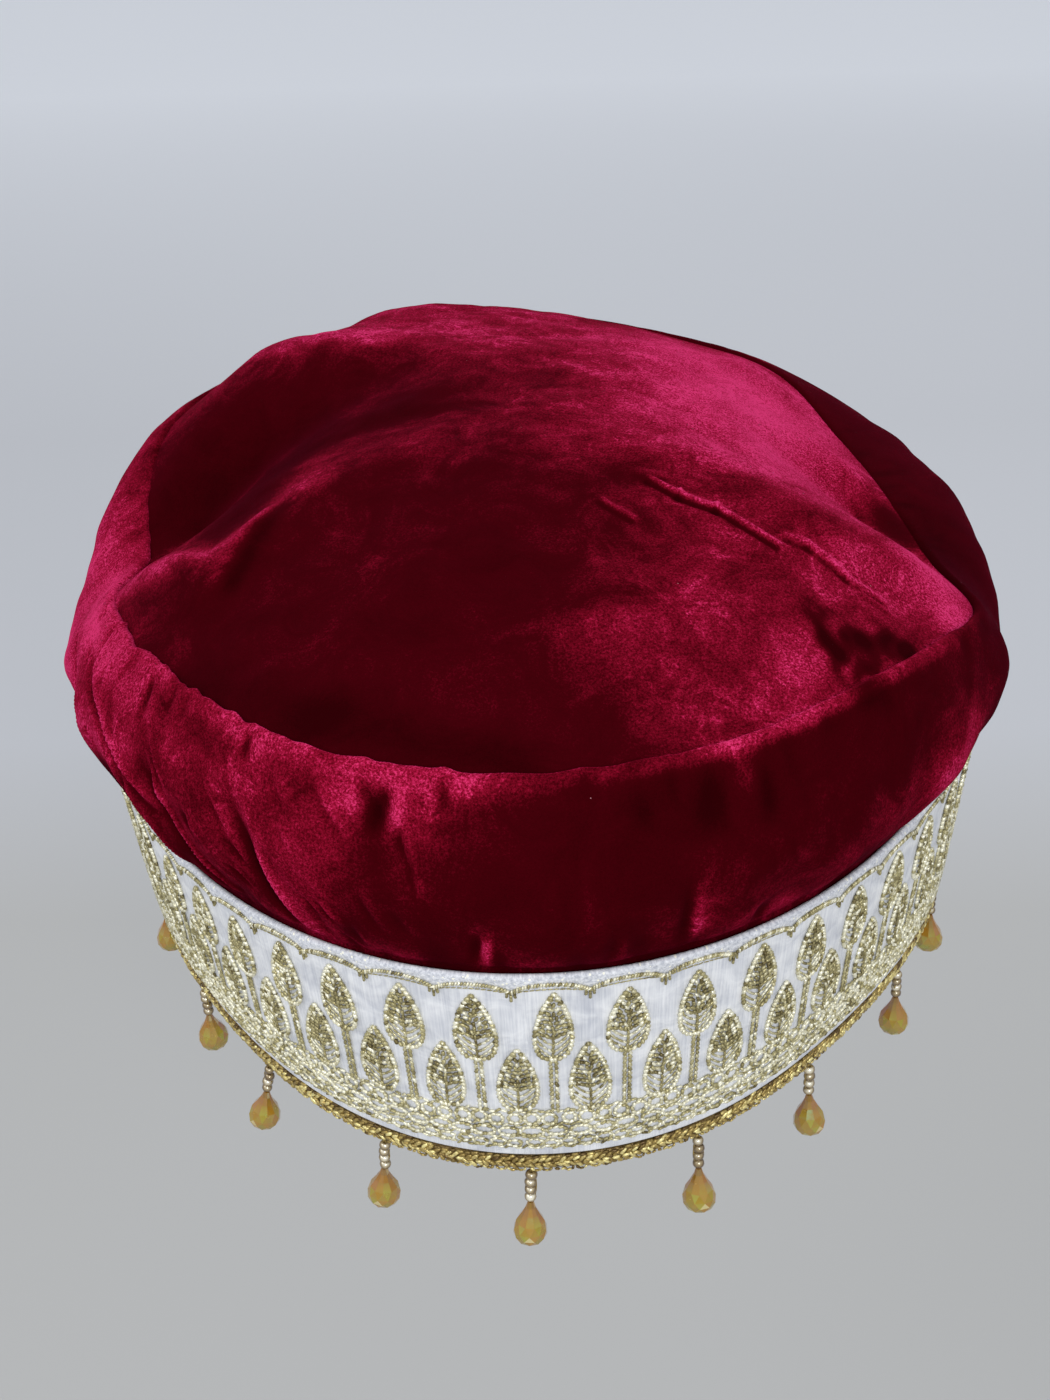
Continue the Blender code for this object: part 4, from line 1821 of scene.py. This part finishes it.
@dataclass(frozen=True)
class Stitch:
    """One kind of stitch, in millimetres and degrees: its form, how it follows a path and its tone."""

    size: tuple
    lift: float
    tone: float
    spread: float = 0.2
    glints: float = 0.0
    pitch: float = 1.0
    slant: float = 0.0


class Leaf(Enum):
    """The two kinds of embroidered tree, each with its leaf's foot, top and half width."""

    TALL = (26.0, 42.2, 3.75)
    SHORT = (12.8, 29.0, 3.80)


@dataclass
class Embroidery:
    """Gold trees, scallops and chain rows stitched on the band."""

    map: BandMap
    count: int = 45
    first: float = 4.27
    full_from: float = 0.34
    seed: int = 21
    rim: Stitch = Stitch(
        (0.90, 0.92, 1.35), lift=0.44, tone=0.56, spread=0.24, glints=0.40, pitch=0.98, slant=30.0,
    )
    rib: Stitch = Stitch((0.50, 0.58, 1.40), lift=0.26, tone=0.62, glints=0.15, pitch=1.05)
    filling: Stitch = Stitch((0.80, 0.82, 1.45), lift=0.34, tone=0.32, spread=0.18, glints=0.20, pitch=0.92)
    vein: Stitch = Stitch((0.62, 0.60, 1.50), lift=0.44, tone=0.30, spread=0.12, pitch=1.20, slant=12.0)
    stem: Stitch = Stitch(
        (0.62, 0.78, 1.55), lift=0.32, tone=0.46, spread=0.15, glints=0.12, pitch=1.10, slant=20.0,
    )
    cord: Stitch = Stitch((0.75, 0.50, 1.25), lift=0.34, tone=0.52, glints=0.28, pitch=0.52, slant=58.0)
    thin_line: Stitch = Stitch((0.30, 0.30, 1.20), lift=0.12, tone=0.36, spread=0.1, pitch=1.05, slant=4.0)
    prong: Stitch = Stitch((0.60, 0.62, 1.15), lift=0.28, tone=0.26, spread=0.12, pitch=0.80, slant=8.0)
    line: Stitch = Stitch(
        (0.60, 0.58, 1.60), lift=0.28, tone=0.52, spread=0.22, glints=0.18, pitch=1.22, slant=14.0,
    )
    # The border's rows of loops: height, loops in each repeat of the trees, half width, half height,
    # tone and how thick the thread stands
    loop_rows: tuple = (
        (10.6, 4, 1.30, 1.40, 0.68, 0.90),
        (7.2, 3, 1.95, 1.10, 0.66, 0.86),
        (4.1, 4, 1.45, 0.90, 0.60, 0.76),
    )
    # The border's lines between the loops: height and tone
    lines: tuple = ((12.5, 0.62), (8.9, 0.5), (5.7, 0.52), (2.8, 0.44))

    def __post_init__(self) -> None:
        """Work out the distance from tree to tree, and start the random draws."""
        self.pitch = self.map.total / self.count
        self.draw = np.random.default_rng(self.seed)

    def lay(self, target: RepeatField, flat: Array, kind: Stitch) -> None:
        """Lay stitches on the band.

        Args:
            target: The field that they go to.
            flat: Rows of length along, height, and the direction along and up.
            kind: The kind of stitch.
        """
        along, up, out = self.map.frames(flat[:, 0], flat[:, 1])
        run = unit(flat[:, 2:3] * along + flat[:, 3:4] * up)
        tones = self.tones(len(flat), kind.tone, kind.spread, kind.glints)
        target.add(self.map.place(flat[:, 0], flat[:, 1], kind.lift), run, out, kind.size, tones)

    def sew(self, target: RepeatField, path: Array, kind: Stitch, side: float = 1.0) -> None:
        """Lay stitches along a flat path, slanted to one side or the other."""
        self.lay(target, self.along_path(path, kind.pitch, side * kind.slant), kind)

    def tones(self, count: int, usual: float, spread: float, glints: float) -> Array:
        """Draw tones round a usual one, with a share of them painted bright as highlights that stand for
        glints of metal thread.
        """
        tones = np.clip(self.draw.normal(usual, spread, count), 0.0, 1.0)
        return np.where(self.draw.uniform(0, 1, count) < glints, self.draw.uniform(0.85, 1.0, count), tones)

    @staticmethod
    def along_path(path: Array, pitch: float, slant: float) -> Array:
        """Space stitches along a flat path.

        Args:
            path: Rows of length and height.
            pitch: Distance from stitch to stitch.
            slant: How far each stitch turns from the path, in degrees.

        Returns:
            Rows of length, height and direction.
        """
        lengths = walked(path)
        count = max(1, int(round(lengths[-1] / pitch)))
        at = (np.arange(count) + 0.5) / count * lengths[-1]
        points, ahead, behind = (
            np.stack([np.interp(at + step, lengths, path[:, k]) for k in (0, 1)], 1)
            for step in (0, 0.05, -0.05)
        )
        run = ahead - behind
        run /= np.maximum(np.linalg.norm(run, axis=1, keepdims=True), 1e-9)
        c, s = math.cos(math.radians(slant)), math.sin(math.radians(slant))
        return np.hstack([points, run @ np.array([[c, s], [-s, c]])])

    @staticmethod
    def leaf_half_width(share: Array, half_width: float) -> Array:
        """Half width of a leaf that is round below and narrows to a blunt tip, at shares of its height."""
        peak = 0.328**0.39 * 0.672**0.80
        return half_width * np.clip(share, 0, 1) ** 0.39 * np.clip(1 - share, 0, 1) ** 0.80 / peak

    def add_tree(self, target: RepeatField, middle: float, kind: Leaf) -> None:
        """Stitch one tree.

        Args:
            target: The field that its stitches go to.
            middle: Length along the band of its middle.
            kind: Tall or short.
        """
        foot, top, half = kind.value
        draw = self.draw
        foot, top = foot + draw.normal(0, 0.18), top + draw.normal(0, 0.25)
        half *= 1 + draw.normal(0, 0.035)
        lean = draw.normal(0, 0.35)

        def flat(across: Array, share: Array) -> Array:
            """Places of the leaf, from across and share of its height."""
            share = np.asarray(share, float)
            return np.stack([middle + across + lean * share, foot + (top - foot) * share], 1)

        t = np.linspace(0.0, 1.0, 40)
        for side in (-1, 1):
            self.sew(target, flat(side * (self.leaf_half_width(t, half) - 0.25), t), self.rim, side)
            self._ribs(target, flat, side, half)
        self._filling(target, flat, half)
        self.sew(target, flat(np.zeros(12), np.linspace(-0.04, 0.46, 12)), self.vein)
        if kind is Leaf.TALL:
            for side, tone in ((-1, 0.50), (1, 0.42)):
                stem = np.stack([np.full(14, middle + side * 0.50), np.linspace(12.2, foot + 0.8, 14)], 1)
                self.sew(target, stem, replace(self.stem, tone=tone), side)

    def _ribs(self, target: RepeatField, flat: object, side: int, half: float) -> None:
        """Lay gold ribs that curve up and out from the vein, over the lower part of one side.

        Args:
            target: The field that the stitches go to.
            flat: The leaf's own map.
            side: -1 for left and 1 for right.
            half: The leaf's half width.
        """
        s = np.linspace(0.0, 1.0, 12)
        for root in (0.02, 0.12, 0.22, 0.32):
            share = root + 0.20 * s**1.7
            self.sew(target, flat(side * s * 0.90 * self.leaf_half_width(share, half), share), self.rib)

    def _filling(self, target: RepeatField, flat: object, half: float) -> None:
        """Fill the upper part of a leaf with close stitches, dull with bright glints.

        Args:
            target: The field that the stitches go to.
            flat: The leaf's own map.
            half: The leaf's half width.
        """
        places, turns = [], []
        for share in np.arange(self.full_from, 0.93, 0.068):
            reach = float(self.leaf_half_width(np.array([share]), half)[0]) - 0.7
            count = max(1, int(round(2 * reach / self.filling.pitch)) + 1)
            for across in np.linspace(-reach, reach, count) if count > 1 else (0.0,):
                places.append((across, share + 0.022 * abs(across)))
                turns.append(90 - 52 * np.sign(across) * min(1.0, abs(across) + 0.3))
        across, share = np.array(places).T
        across = across + self.draw.normal(0, 0.10, len(across))
        turn = np.radians(np.array(turns) + self.draw.normal(0, 14, len(across)))
        rows = np.hstack([flat(across, share), np.stack([np.cos(turn), np.sin(turn)], 1)])
        self.lay(target, rows, self.filling)

    def add_scallops(self, target: RepeatField) -> None:
        """Stitch the scalloped cord, the spear points between the arches and the thin line below.

        Args:
            target: The field that the stitches go to.
        """
        draw = self.draw
        s = np.linspace(-0.5, 0.5, 26)
        for index in range(self.count):
            middle = self.first + index * self.pitch
            arch = 44.5 - 1.8 * (2 * np.abs(s)) ** 2.6 + draw.normal(0, 0.08)
            self.sew(target, np.stack([middle + s * self.pitch, arch], 1), self.cord)
            thin = np.stack([middle + s * self.pitch, 43.3 - 0.9 * (2 * np.abs(s)) ** 2], 1)
            self.sew(target, thin, self.thin_line)
            corner = middle + self.pitch / 2
            for lean, reach in ((-0.8, 1.3), (0.0, 2.3), (0.8, 1.3)):
                prong = np.array([(corner + lean * 0.8, 42.9), (corner + lean * 0.9, 42.9 - reach)])
                self.sew(target, prong, self.prong, np.sign(lean))

    def add_chain(self, target: RepeatField) -> None:
        """Stitch the rows of loops along the band's foot.

        Args:
            target: The field that the stitches go to.
        """
        draw = self.draw
        turn = np.linspace(0, 2 * math.pi, 25)
        for low, per_repeat, wide, tall, tone, thick in self.loop_rows:
            kind = Stitch((thick, thick * 0.9, 1.45), thick * 0.45, tone, glints=0.34, pitch=1.02, slant=16.0)
            count = self.count * per_repeat
            step = self.map.total / count
            for index in range(count):
                size = 1 + draw.normal(0, 0.07)
                middle = index * step + draw.normal(0, 0.14)
                height = low + tall * size * np.sin(turn) + draw.normal(0, 0.14)
                self.sew(target, np.stack([middle + wide * size * np.cos(turn), height], 1), kind)
        for height, tone in self.lines:
            path = np.stack([np.linspace(0, self.map.total, 1200), np.full(1200, height)], 1)
            path[:, 1] += 0.25 * np.sin(path[:, 0] * 2.1 + height)
            self.sew(target, path, replace(self.line, tone=tone))

    def dress(self, tools: NodeTools, shared: SharedEffects) -> None:
        """Stitch every group as a piece of its own.

        Args:
            tools: The Geometry Nodes.
            shared: The shader groups.
        """
        finish = ThreadFinish("gold_thread", Slot.THREAD)
        gold = finish.build(shared)
        groups = {name: RepeatField() for name in ("tall_trees", "short_trees", "scallop_cord", "chain_rows")}
        for index in range(self.count):
            middle = self.first + index * self.pitch
            self.add_tree(groups["tall_trees"], middle, Leaf.TALL)
            self.add_tree(groups["short_trees"], middle + self.pitch / 2, Leaf.SHORT)
        self.add_scallops(groups["scallop_cord"])
        self.add_chain(groups["chain_rows"])
        for seed, (name, group) in enumerate(groups.items()):
            piece = tools.repeat(name, group, grain_motif(), gold, tilt=0.12, swell=0.08, seed=seed)
            place_piece(piece, finish.slot)


@dataclass
class GimpBraid:
    """The gold gimp under the band: two twisted cords over a core toned near black, which also stands in for
    the shade between the strands, with small loops below.
    """

    map: BandMap
    core_radius: float = 1.05
    loop_step: float = 2.3
    seed: int = 31
    # Rows of slanted strands: height against the band's lower edge, distance off its face, turn from
    # the braid's run in degrees, size out, across and along, usual tone, share of a step that the row is
    # shifted by, and distance from strand to strand
    rows: tuple = (
        (-0.75, -0.35, 10.0, (0.85, 0.80, 1.9), 0.22, 0.1, 1.50),
        (-1.50, -0.20, 40.0, (1.00, 0.90, 2.3), 0.52, 0.0, 1.30),
        (-3.10, -0.30, -40.0, (1.00, 0.90, 2.3), 0.58, 0.5, 1.30),
        (-2.25, 0.05, 8.0, (0.80, 0.80, 1.7), 0.66, 0.25, 1.90),
        (-1.35, -2.05, -42.0, (0.85, 0.75, 2.2), 0.36, 0.2, 1.70),
        (-3.15, -2.05, 42.0, (0.85, 0.75, 2.2), 0.36, 0.7, 1.70),
        (-4.10, -1.10, 24.0, (0.80, 0.90, 2.0), 0.40, 0.4, 1.60),
    )
    # The core's two cords, toned near black as dark thread that also stands in for the shade between the
    # strands:
    # height, distance off the band's face and tone
    cores: tuple = ((-1.45, -1.15, 0.06), (-3.05, -1.15, 0.04))

    def __post_init__(self) -> None:
        """Start the random draws."""
        self.draw = np.random.default_rng(self.seed)

    def _row(self, target: RepeatField, height: float, lift: float, slant: float, size: tuple,
             tone: float, phase: float, step: float) -> None:
        """Lay one row of slanted strands.

        Args:
            target: The field that they go to.
            height: Height against the band's lower edge.
            lift: Distance off the band's face.
            slant: Turn from the braid's run, in degrees.
            size: How far a strand stands out, its width and its length.
            tone: Usual tone.
            phase: Share of a step that the row is shifted by.
            step: Distance from strand to strand.
        """
        count = int(self.map.total / step)
        length = (np.arange(count) + phase) * self.map.total / count
        length = length + self.draw.normal(0, 0.10, count)
        high = height + self.draw.normal(0, 0.14, count) + 0.22 * np.sin(length * 0.31)
        along, up, out = self.map.frames(length, high, True)
        turn = math.radians(slant)
        run = math.cos(turn) * along + math.sin(turn) * up
        tones = np.clip(self.draw.normal(tone, 0.24, count), 0.0, 1.0)
        target.add(self.map.place(length, high, lift, True), run, out, size, tones)

    def _loops(self, target: RepeatField) -> None:
        """Hang small uneven loops from the braid's lower edge.

        Args:
            target: The field that they go to.
        """
        count = int(self.map.total / self.loop_step)
        for index in range(count):
            middle = index * self.map.total / count + self.draw.normal(0, 0.25)
            drop = 0.40 + self.draw.uniform(0, 0.45)
            turn = np.linspace(math.pi, 2 * math.pi, 9)
            path = np.stack([middle + 0.9 * np.cos(turn), -4.05 + drop * np.sin(turn)], 1)
            rows = Embroidery.along_path(path, 0.95, 10.0)
            along, up, out = self.map.frames(rows[:, 0], rows[:, 1], True)
            run = rows[:, 2:3] * along + rows[:, 3:4] * up
            tones = np.clip(self.draw.normal(0.55, 0.25, len(rows)), 0.0, 1.0)
            target.add(self.map.place(rows[:, 0], rows[:, 1], -0.5, True), run, out, (0.6, 0.6, 1.15), tones)

    def dress(self, tools: NodeTools, shared: SharedEffects) -> None:
        """Build the braid's core and its strands.

        Args:
            tools: The Geometry Nodes.
            shared: The shader groups.
        """
        finish = ThreadFinish(
            "gold_gimp", Slot.BRAID, dark=(0.105, 0.060, 0.015), middle=(0.430, 0.310, 0.095),
            bright=(1.000, 0.880, 0.400), metallic=0.5, roughness=0.32,
        )
        gold = finish.build(shared)
        lengths = np.linspace(0, self.map.total, 480, endpoint=False)
        rings = [self.map.place(lengths, height, lift, True) for height, lift, _ in self.cores]
        tones = [tone for *_, tone in self.cores]
        core = tools.threads("braid_core", rings, tones, self.core_radius, 8, gold, closed=True)
        place_piece(core, finish.slot)
        strands = RepeatField()
        for row in self.rows:
            self._row(strands, *row)
        self._loops(strands)
        braid = tools.repeat("gimp_braid", strands, grain_motif(6), gold, tilt=0.16, swell=0.12, seed=9)
        place_piece(braid, finish.slot, "edge_braid")


@dataclass
class Fringe:
    """The seed-bead strands and the faceted glass drops below the braid."""

    shape: CapShape
    steps: int = 720
    # The drop's outline: height below its top and radius
    outline: tuple = ((0.0, 0.6), (3.6, 2.5), (6.9, 3.5), (9.2, 2.2), (10.0, 0.7))
    # Where its facets meet: height below its top, and turn as a share of a side
    drop_rings: tuple = (
        (0.0, 0.0), (1.3, 0.0), (2.8, 0.0), (4.6, 0.0), (6.3, 0.5), (7.6, 0.0), (8.7, 0.5), (9.5, 0.0),
        (10.0, 0.0),
    )
    drop_sides: int = 10
    facet_seed: int = 5
    bead_count: int = 4
    bead_radius: float = 1.16
    thread_radius: float = 0.20
    seed: int = 41

    def __post_init__(self) -> None:
        """Start the random draws."""
        self.draw = np.random.default_rng(self.seed)

    def hangers(self) -> list:
        """Work out each strand as the solids have it.

        Returns:
            For each drop: the strand's top, its direction, and the braid's run there.
        """
        shape = self.shape
        turns = np.arange(self.steps + 1) * 360.0 / self.steps
        rim = shape.column("rim_height", turns)
        radius = shape.band_radius(turns, rim) - shape.braid_inset
        line = polar(turns, radius, rim - shape.gap - shape.braid_height / 2)
        lengths = walked(line)
        found = []
        for number in range(shape.drop_count):
            shift, lean_along, lean_out = DROP_SWINGS.get(number, (0.0, 0.0, 0.0))
            length = (lengths[-1] * number / shape.drop_count + shift) % lengths[-1]
            place = int(np.searchsorted(lengths, length))
            turn = math.radians(turns[place])
            run = np.array([math.cos(turn), math.sin(turn), 0.0])
            out = np.array([math.sin(turn), -math.cos(turn), 0.0])
            reach = shape.strand_length + shape.drop_length
            direction = lean_along * run + lean_out * out - np.array([0.0, 0.0, reach])
            top = line[place] - np.array([0.0, 0.0, shape.braid_height / 2 + shape.gap])
            found.append((top, unit(direction), run))
        return found

    @staticmethod
    def bead_motif() -> Mesh:
        """A seed bead: a short barrel with rounded ends and a hole.

        Returns:
            The bead's mesh.
        """
        outline = ((0.10, 0.26), (0.42, 0.30), (0.50, 0.46), (0.42, 0.76), (0.22, 0.95), (0.0, 1.0),
                   (-0.22, 0.95), (-0.42, 0.76), (-0.50, 0.46), (-0.42, 0.30), (-0.10, 0.26))
        return lathe("seed_bead", outline + outline[:1], 12)

    def drop_motif(self) -> Mesh:
        """A drop with long facets above and diamond facets below, pointing along Z.

        Returns:
            The drop's mesh.
        """
        sides = self.drop_sides
        below, widths = np.array(self.outline).T
        points, rings = [], []
        for level, turned in self.drop_rings:
            rings.append(range(len(points), len(points) + sides))
            points += ring(float(np.interp(level, below, widths)) + self.swell(level), level, sides, turned)
        faces = [tuple(rings[0])[::-1], tuple(rings[-1])]
        turns = [turned for _, turned in self.drop_rings]
        for upper, lower, first, second in zip(rings, rings[1:], turns, turns[1:]):
            for i in range(sides):
                j = (i + 1) % sides
                if first == second:
                    faces.append((upper[i], upper[j], lower[j], lower[i]))
                elif second > first:
                    faces += [(upper[i], upper[j], lower[i]), (upper[j], lower[j], lower[i])]
                else:
                    faces += [(upper[i], lower[j], lower[i]), (upper[i], upper[j], lower[j])]
        mesh = new_mesh("glass_drop", points, [], faces)
        paint(mesh, "down", [height / below[-1] for _, _, height in points])
        facet = mesh.attributes.new("facet", "FLOAT", "FACE")
        draw = np.random.default_rng(self.facet_seed)
        facet.data.foreach_set("value", draw.uniform(0, 1, len(faces)).astype(np.float32))
        return mesh

    @staticmethod
    def swell(level: float) -> float:
        """How far the finer drop lies in or out from straight lines between the outline's points.

        Args:
            level: Height below the drop's top.

        Returns:
            The distance out.
        """
        neck = -0.38 * math.sin(math.pi * min(level / 4.6, 1.0))
        foot = 0.35 * math.sin(math.pi * min(max((level - 6.9) / 3.1, 0.0), 1.0))
        return neck + foot

    def dress(self, tools: NodeTools, shared: SharedEffects) -> None:
        """Build the beads, their threads and the drops.

        Args:
            tools: The Geometry Nodes.
            shared: The shader groups.
        """
        shape = self.shape
        beads, drops, paths, tones = RepeatField(), RepeatField(), [], []
        for top, direction, run in self.hangers():
            pitch = shape.strand_length / self.bead_count
            across = unit(run - (run @ direction) * direction)
            for index in range(self.bead_count):
                swell = self.draw.uniform(0.9, 1.06)
                size = (self.bead_radius * swell, self.bead_radius * swell, pitch * 0.98)
                shift = across * self.draw.normal(0, 0.10)
                place = top + direction * pitch * (index + 0.5) + shift
                beads.add([place], [direction], [across], size, self.draw.uniform(0.1, 0.75))
            foot = top + direction * (shape.strand_length + shape.gap)
            drops.add([foot], [direction], [across], (1.0, 1.0, 1.0), 0.5)
            levels = np.linspace(-0.06, 1.03, 12)
            out = np.cross(across, direction)
            for side in (-1, 0, 1):
                bow = 0.98 * np.abs(np.sin(math.pi * np.clip(levels, 0, 1))) ** 0.5 * side
                weave = 0.12 * np.cos(levels * math.pi * 2 * self.bead_count)
                path = top + np.outer(levels * shape.strand_length, direction)
                path = path + np.outer(bow, across) + np.outer(weave, out)
                paths.append(path)
                tones.append(0.2 + 0.2 * abs(side))
        seed_nodes, drop_nodes = (
            [f"{kind}_{number + 1:02d}" for number in range(shape.drop_count)]
            for kind in ("seed_strand", "drop_bead")
        )
        finish = SeedFinish("pearl_seed", Slot.SEED)
        pearl = finish.build(shared)
        piece = tools.repeat("seed_beads", beads, self.bead_motif(), pearl, tilt=0.10, swell=0.04, seed=3)
        place_piece(piece, finish.slot, *seed_nodes)
        finish = ThreadFinish(
            "strand_thread", Slot.BRAID, dark=(0.10, 0.065, 0.02), middle=(0.34, 0.24, 0.08),
            bright=(0.70, 0.55, 0.25), metallic=0.4,
        )
        piece = tools.threads("strand_threads", paths, tones, self.thread_radius, 5, finish.build(shared))
        place_piece(piece, finish.slot)
        finish = GlassFinish("amber_glass", Slot.GLASS)
        piece = tools.repeat("glass_drops", drops, self.drop_motif(), finish.build(shared), seed=4)
        place_piece(piece, finish.slot, *drop_nodes)


@dataclass(frozen=True)
class SoftBox:
    """One large soft light: where it is, its size, its power and its colour."""

    name: str
    place: tuple
    size: float
    power: float
    colour: tuple = (1.0, 1.0, 1.0)


@dataclass(frozen=True)
class Studio:
    """The pale floor, the soft light and the camera at the photograph's angle."""

    floor_height: float = -0.32
    floor_half: float = 9.0
    camera_place: tuple = (0.0167, -0.3728, 0.2547)
    azimuth: float = 3.139
    elevation: float = 30.117
    roll: float = -2.529
    lens: float = 48.845
    world_colour: tuple = (0.86, 0.89, 0.94)
    world_strength: float = 0.72
    aim: tuple = (0.0, 0.0, 0.06)
    lights: tuple = (
        SoftBox("window_left", (-0.85, -0.45, 0.95), 0.8, 4.0, (0.97, 0.98, 1.0)),
        SoftBox("window_back", (0.35, 0.95, 0.85), 0.9, 3.0, (0.98, 0.98, 1.0)),
        SoftBox("lamp_front", (0.25, -1.25, 0.70), 0.5, 9.0),
    )

    def build_floor(self) -> None:
        """Lay the floor."""
        half, height = self.floor_half, self.floor_height
        corners = [(-half, -half, height), (half, -half, height), (half, half, height), (-half, half, height)]
        mesh = new_mesh("floor", corners, [], [(0, 1, 2, 3)])
        link_mesh("floor", mesh, FloorFinish().build())

    def build_lights(self) -> None:
        """Hang the soft boxes and set the room's own light."""
        for box in self.lights:
            data = bpy.data.lights.new(box.name, "AREA")
            data.shape = "DISK"
            data.size = box.size
            data.energy = box.power
            data.color = box.colour
            lamp = bpy.data.objects.new(box.name, data)
            lamp.location = box.place
            lamp.rotation_euler = (Vector(self.aim) - Vector(box.place)).to_track_quat("-Z", "Y").to_euler()
            bpy.context.scene.collection.objects.link(lamp)
        world = bpy.data.worlds.new("room")
        world.use_nodes = True
        sky = world.node_tree.nodes["Background"]
        sky.inputs["Color"].default_value = (*self.world_colour, 1.0)
        sky.inputs["Strength"].default_value = self.world_strength
        bpy.context.scene.world = world

    def build_camera(self) -> None:
        """Set the camera where the photograph was taken from."""
        azimuth, elevation, roll = (math.radians(v) for v in (self.azimuth, self.elevation, self.roll))
        back = Vector((
            math.sin(azimuth) * math.cos(elevation),
            -math.cos(azimuth) * math.cos(elevation),
            math.sin(elevation),
        ))
        level = Vector((math.cos(azimuth), math.sin(azimuth), 0.0))
        upright = back.cross(level)
        right = math.cos(roll) * level + math.sin(roll) * upright
        up = math.cos(roll) * upright - math.sin(roll) * level
        data = bpy.data.cameras.new("camera")
        data.lens = self.lens
        data.clip_start = 0.01
        camera = bpy.data.objects.new("camera", data)
        turn = Matrix((right, up, back)).transposed().to_4x4()
        camera.matrix_world = Matrix.Translation(self.camera_place) @ turn
        bpy.context.scene.collection.objects.link(camera)
        bpy.context.scene.camera = camera

    def build(self) -> None:
        """Make the whole set."""
        self.build_floor()
        self.build_lights()
        self.build_camera()
        bpy.context.scene.view_settings.view_transform = "Standard"


def main() -> None:
    """Dress the cap and set the scene."""
    logging.basicConfig(level=logging.INFO, format="%(name)s %(message)s")
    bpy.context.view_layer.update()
    shape = CapShape()
    band_map = BandMap(shape)
    shared = SharedEffects()
    tools = NodeTools()
    Studio().build()
    VelvetCrown(shape).dress(shared)
    SatinBand(shape).dress(shared)
    Embroidery(band_map).dress(tools, shared)
    GimpBraid(band_map).dress(tools, shared)
    Fringe(shape).dress(tools, shared)


if __name__ == "__main__":
    main()
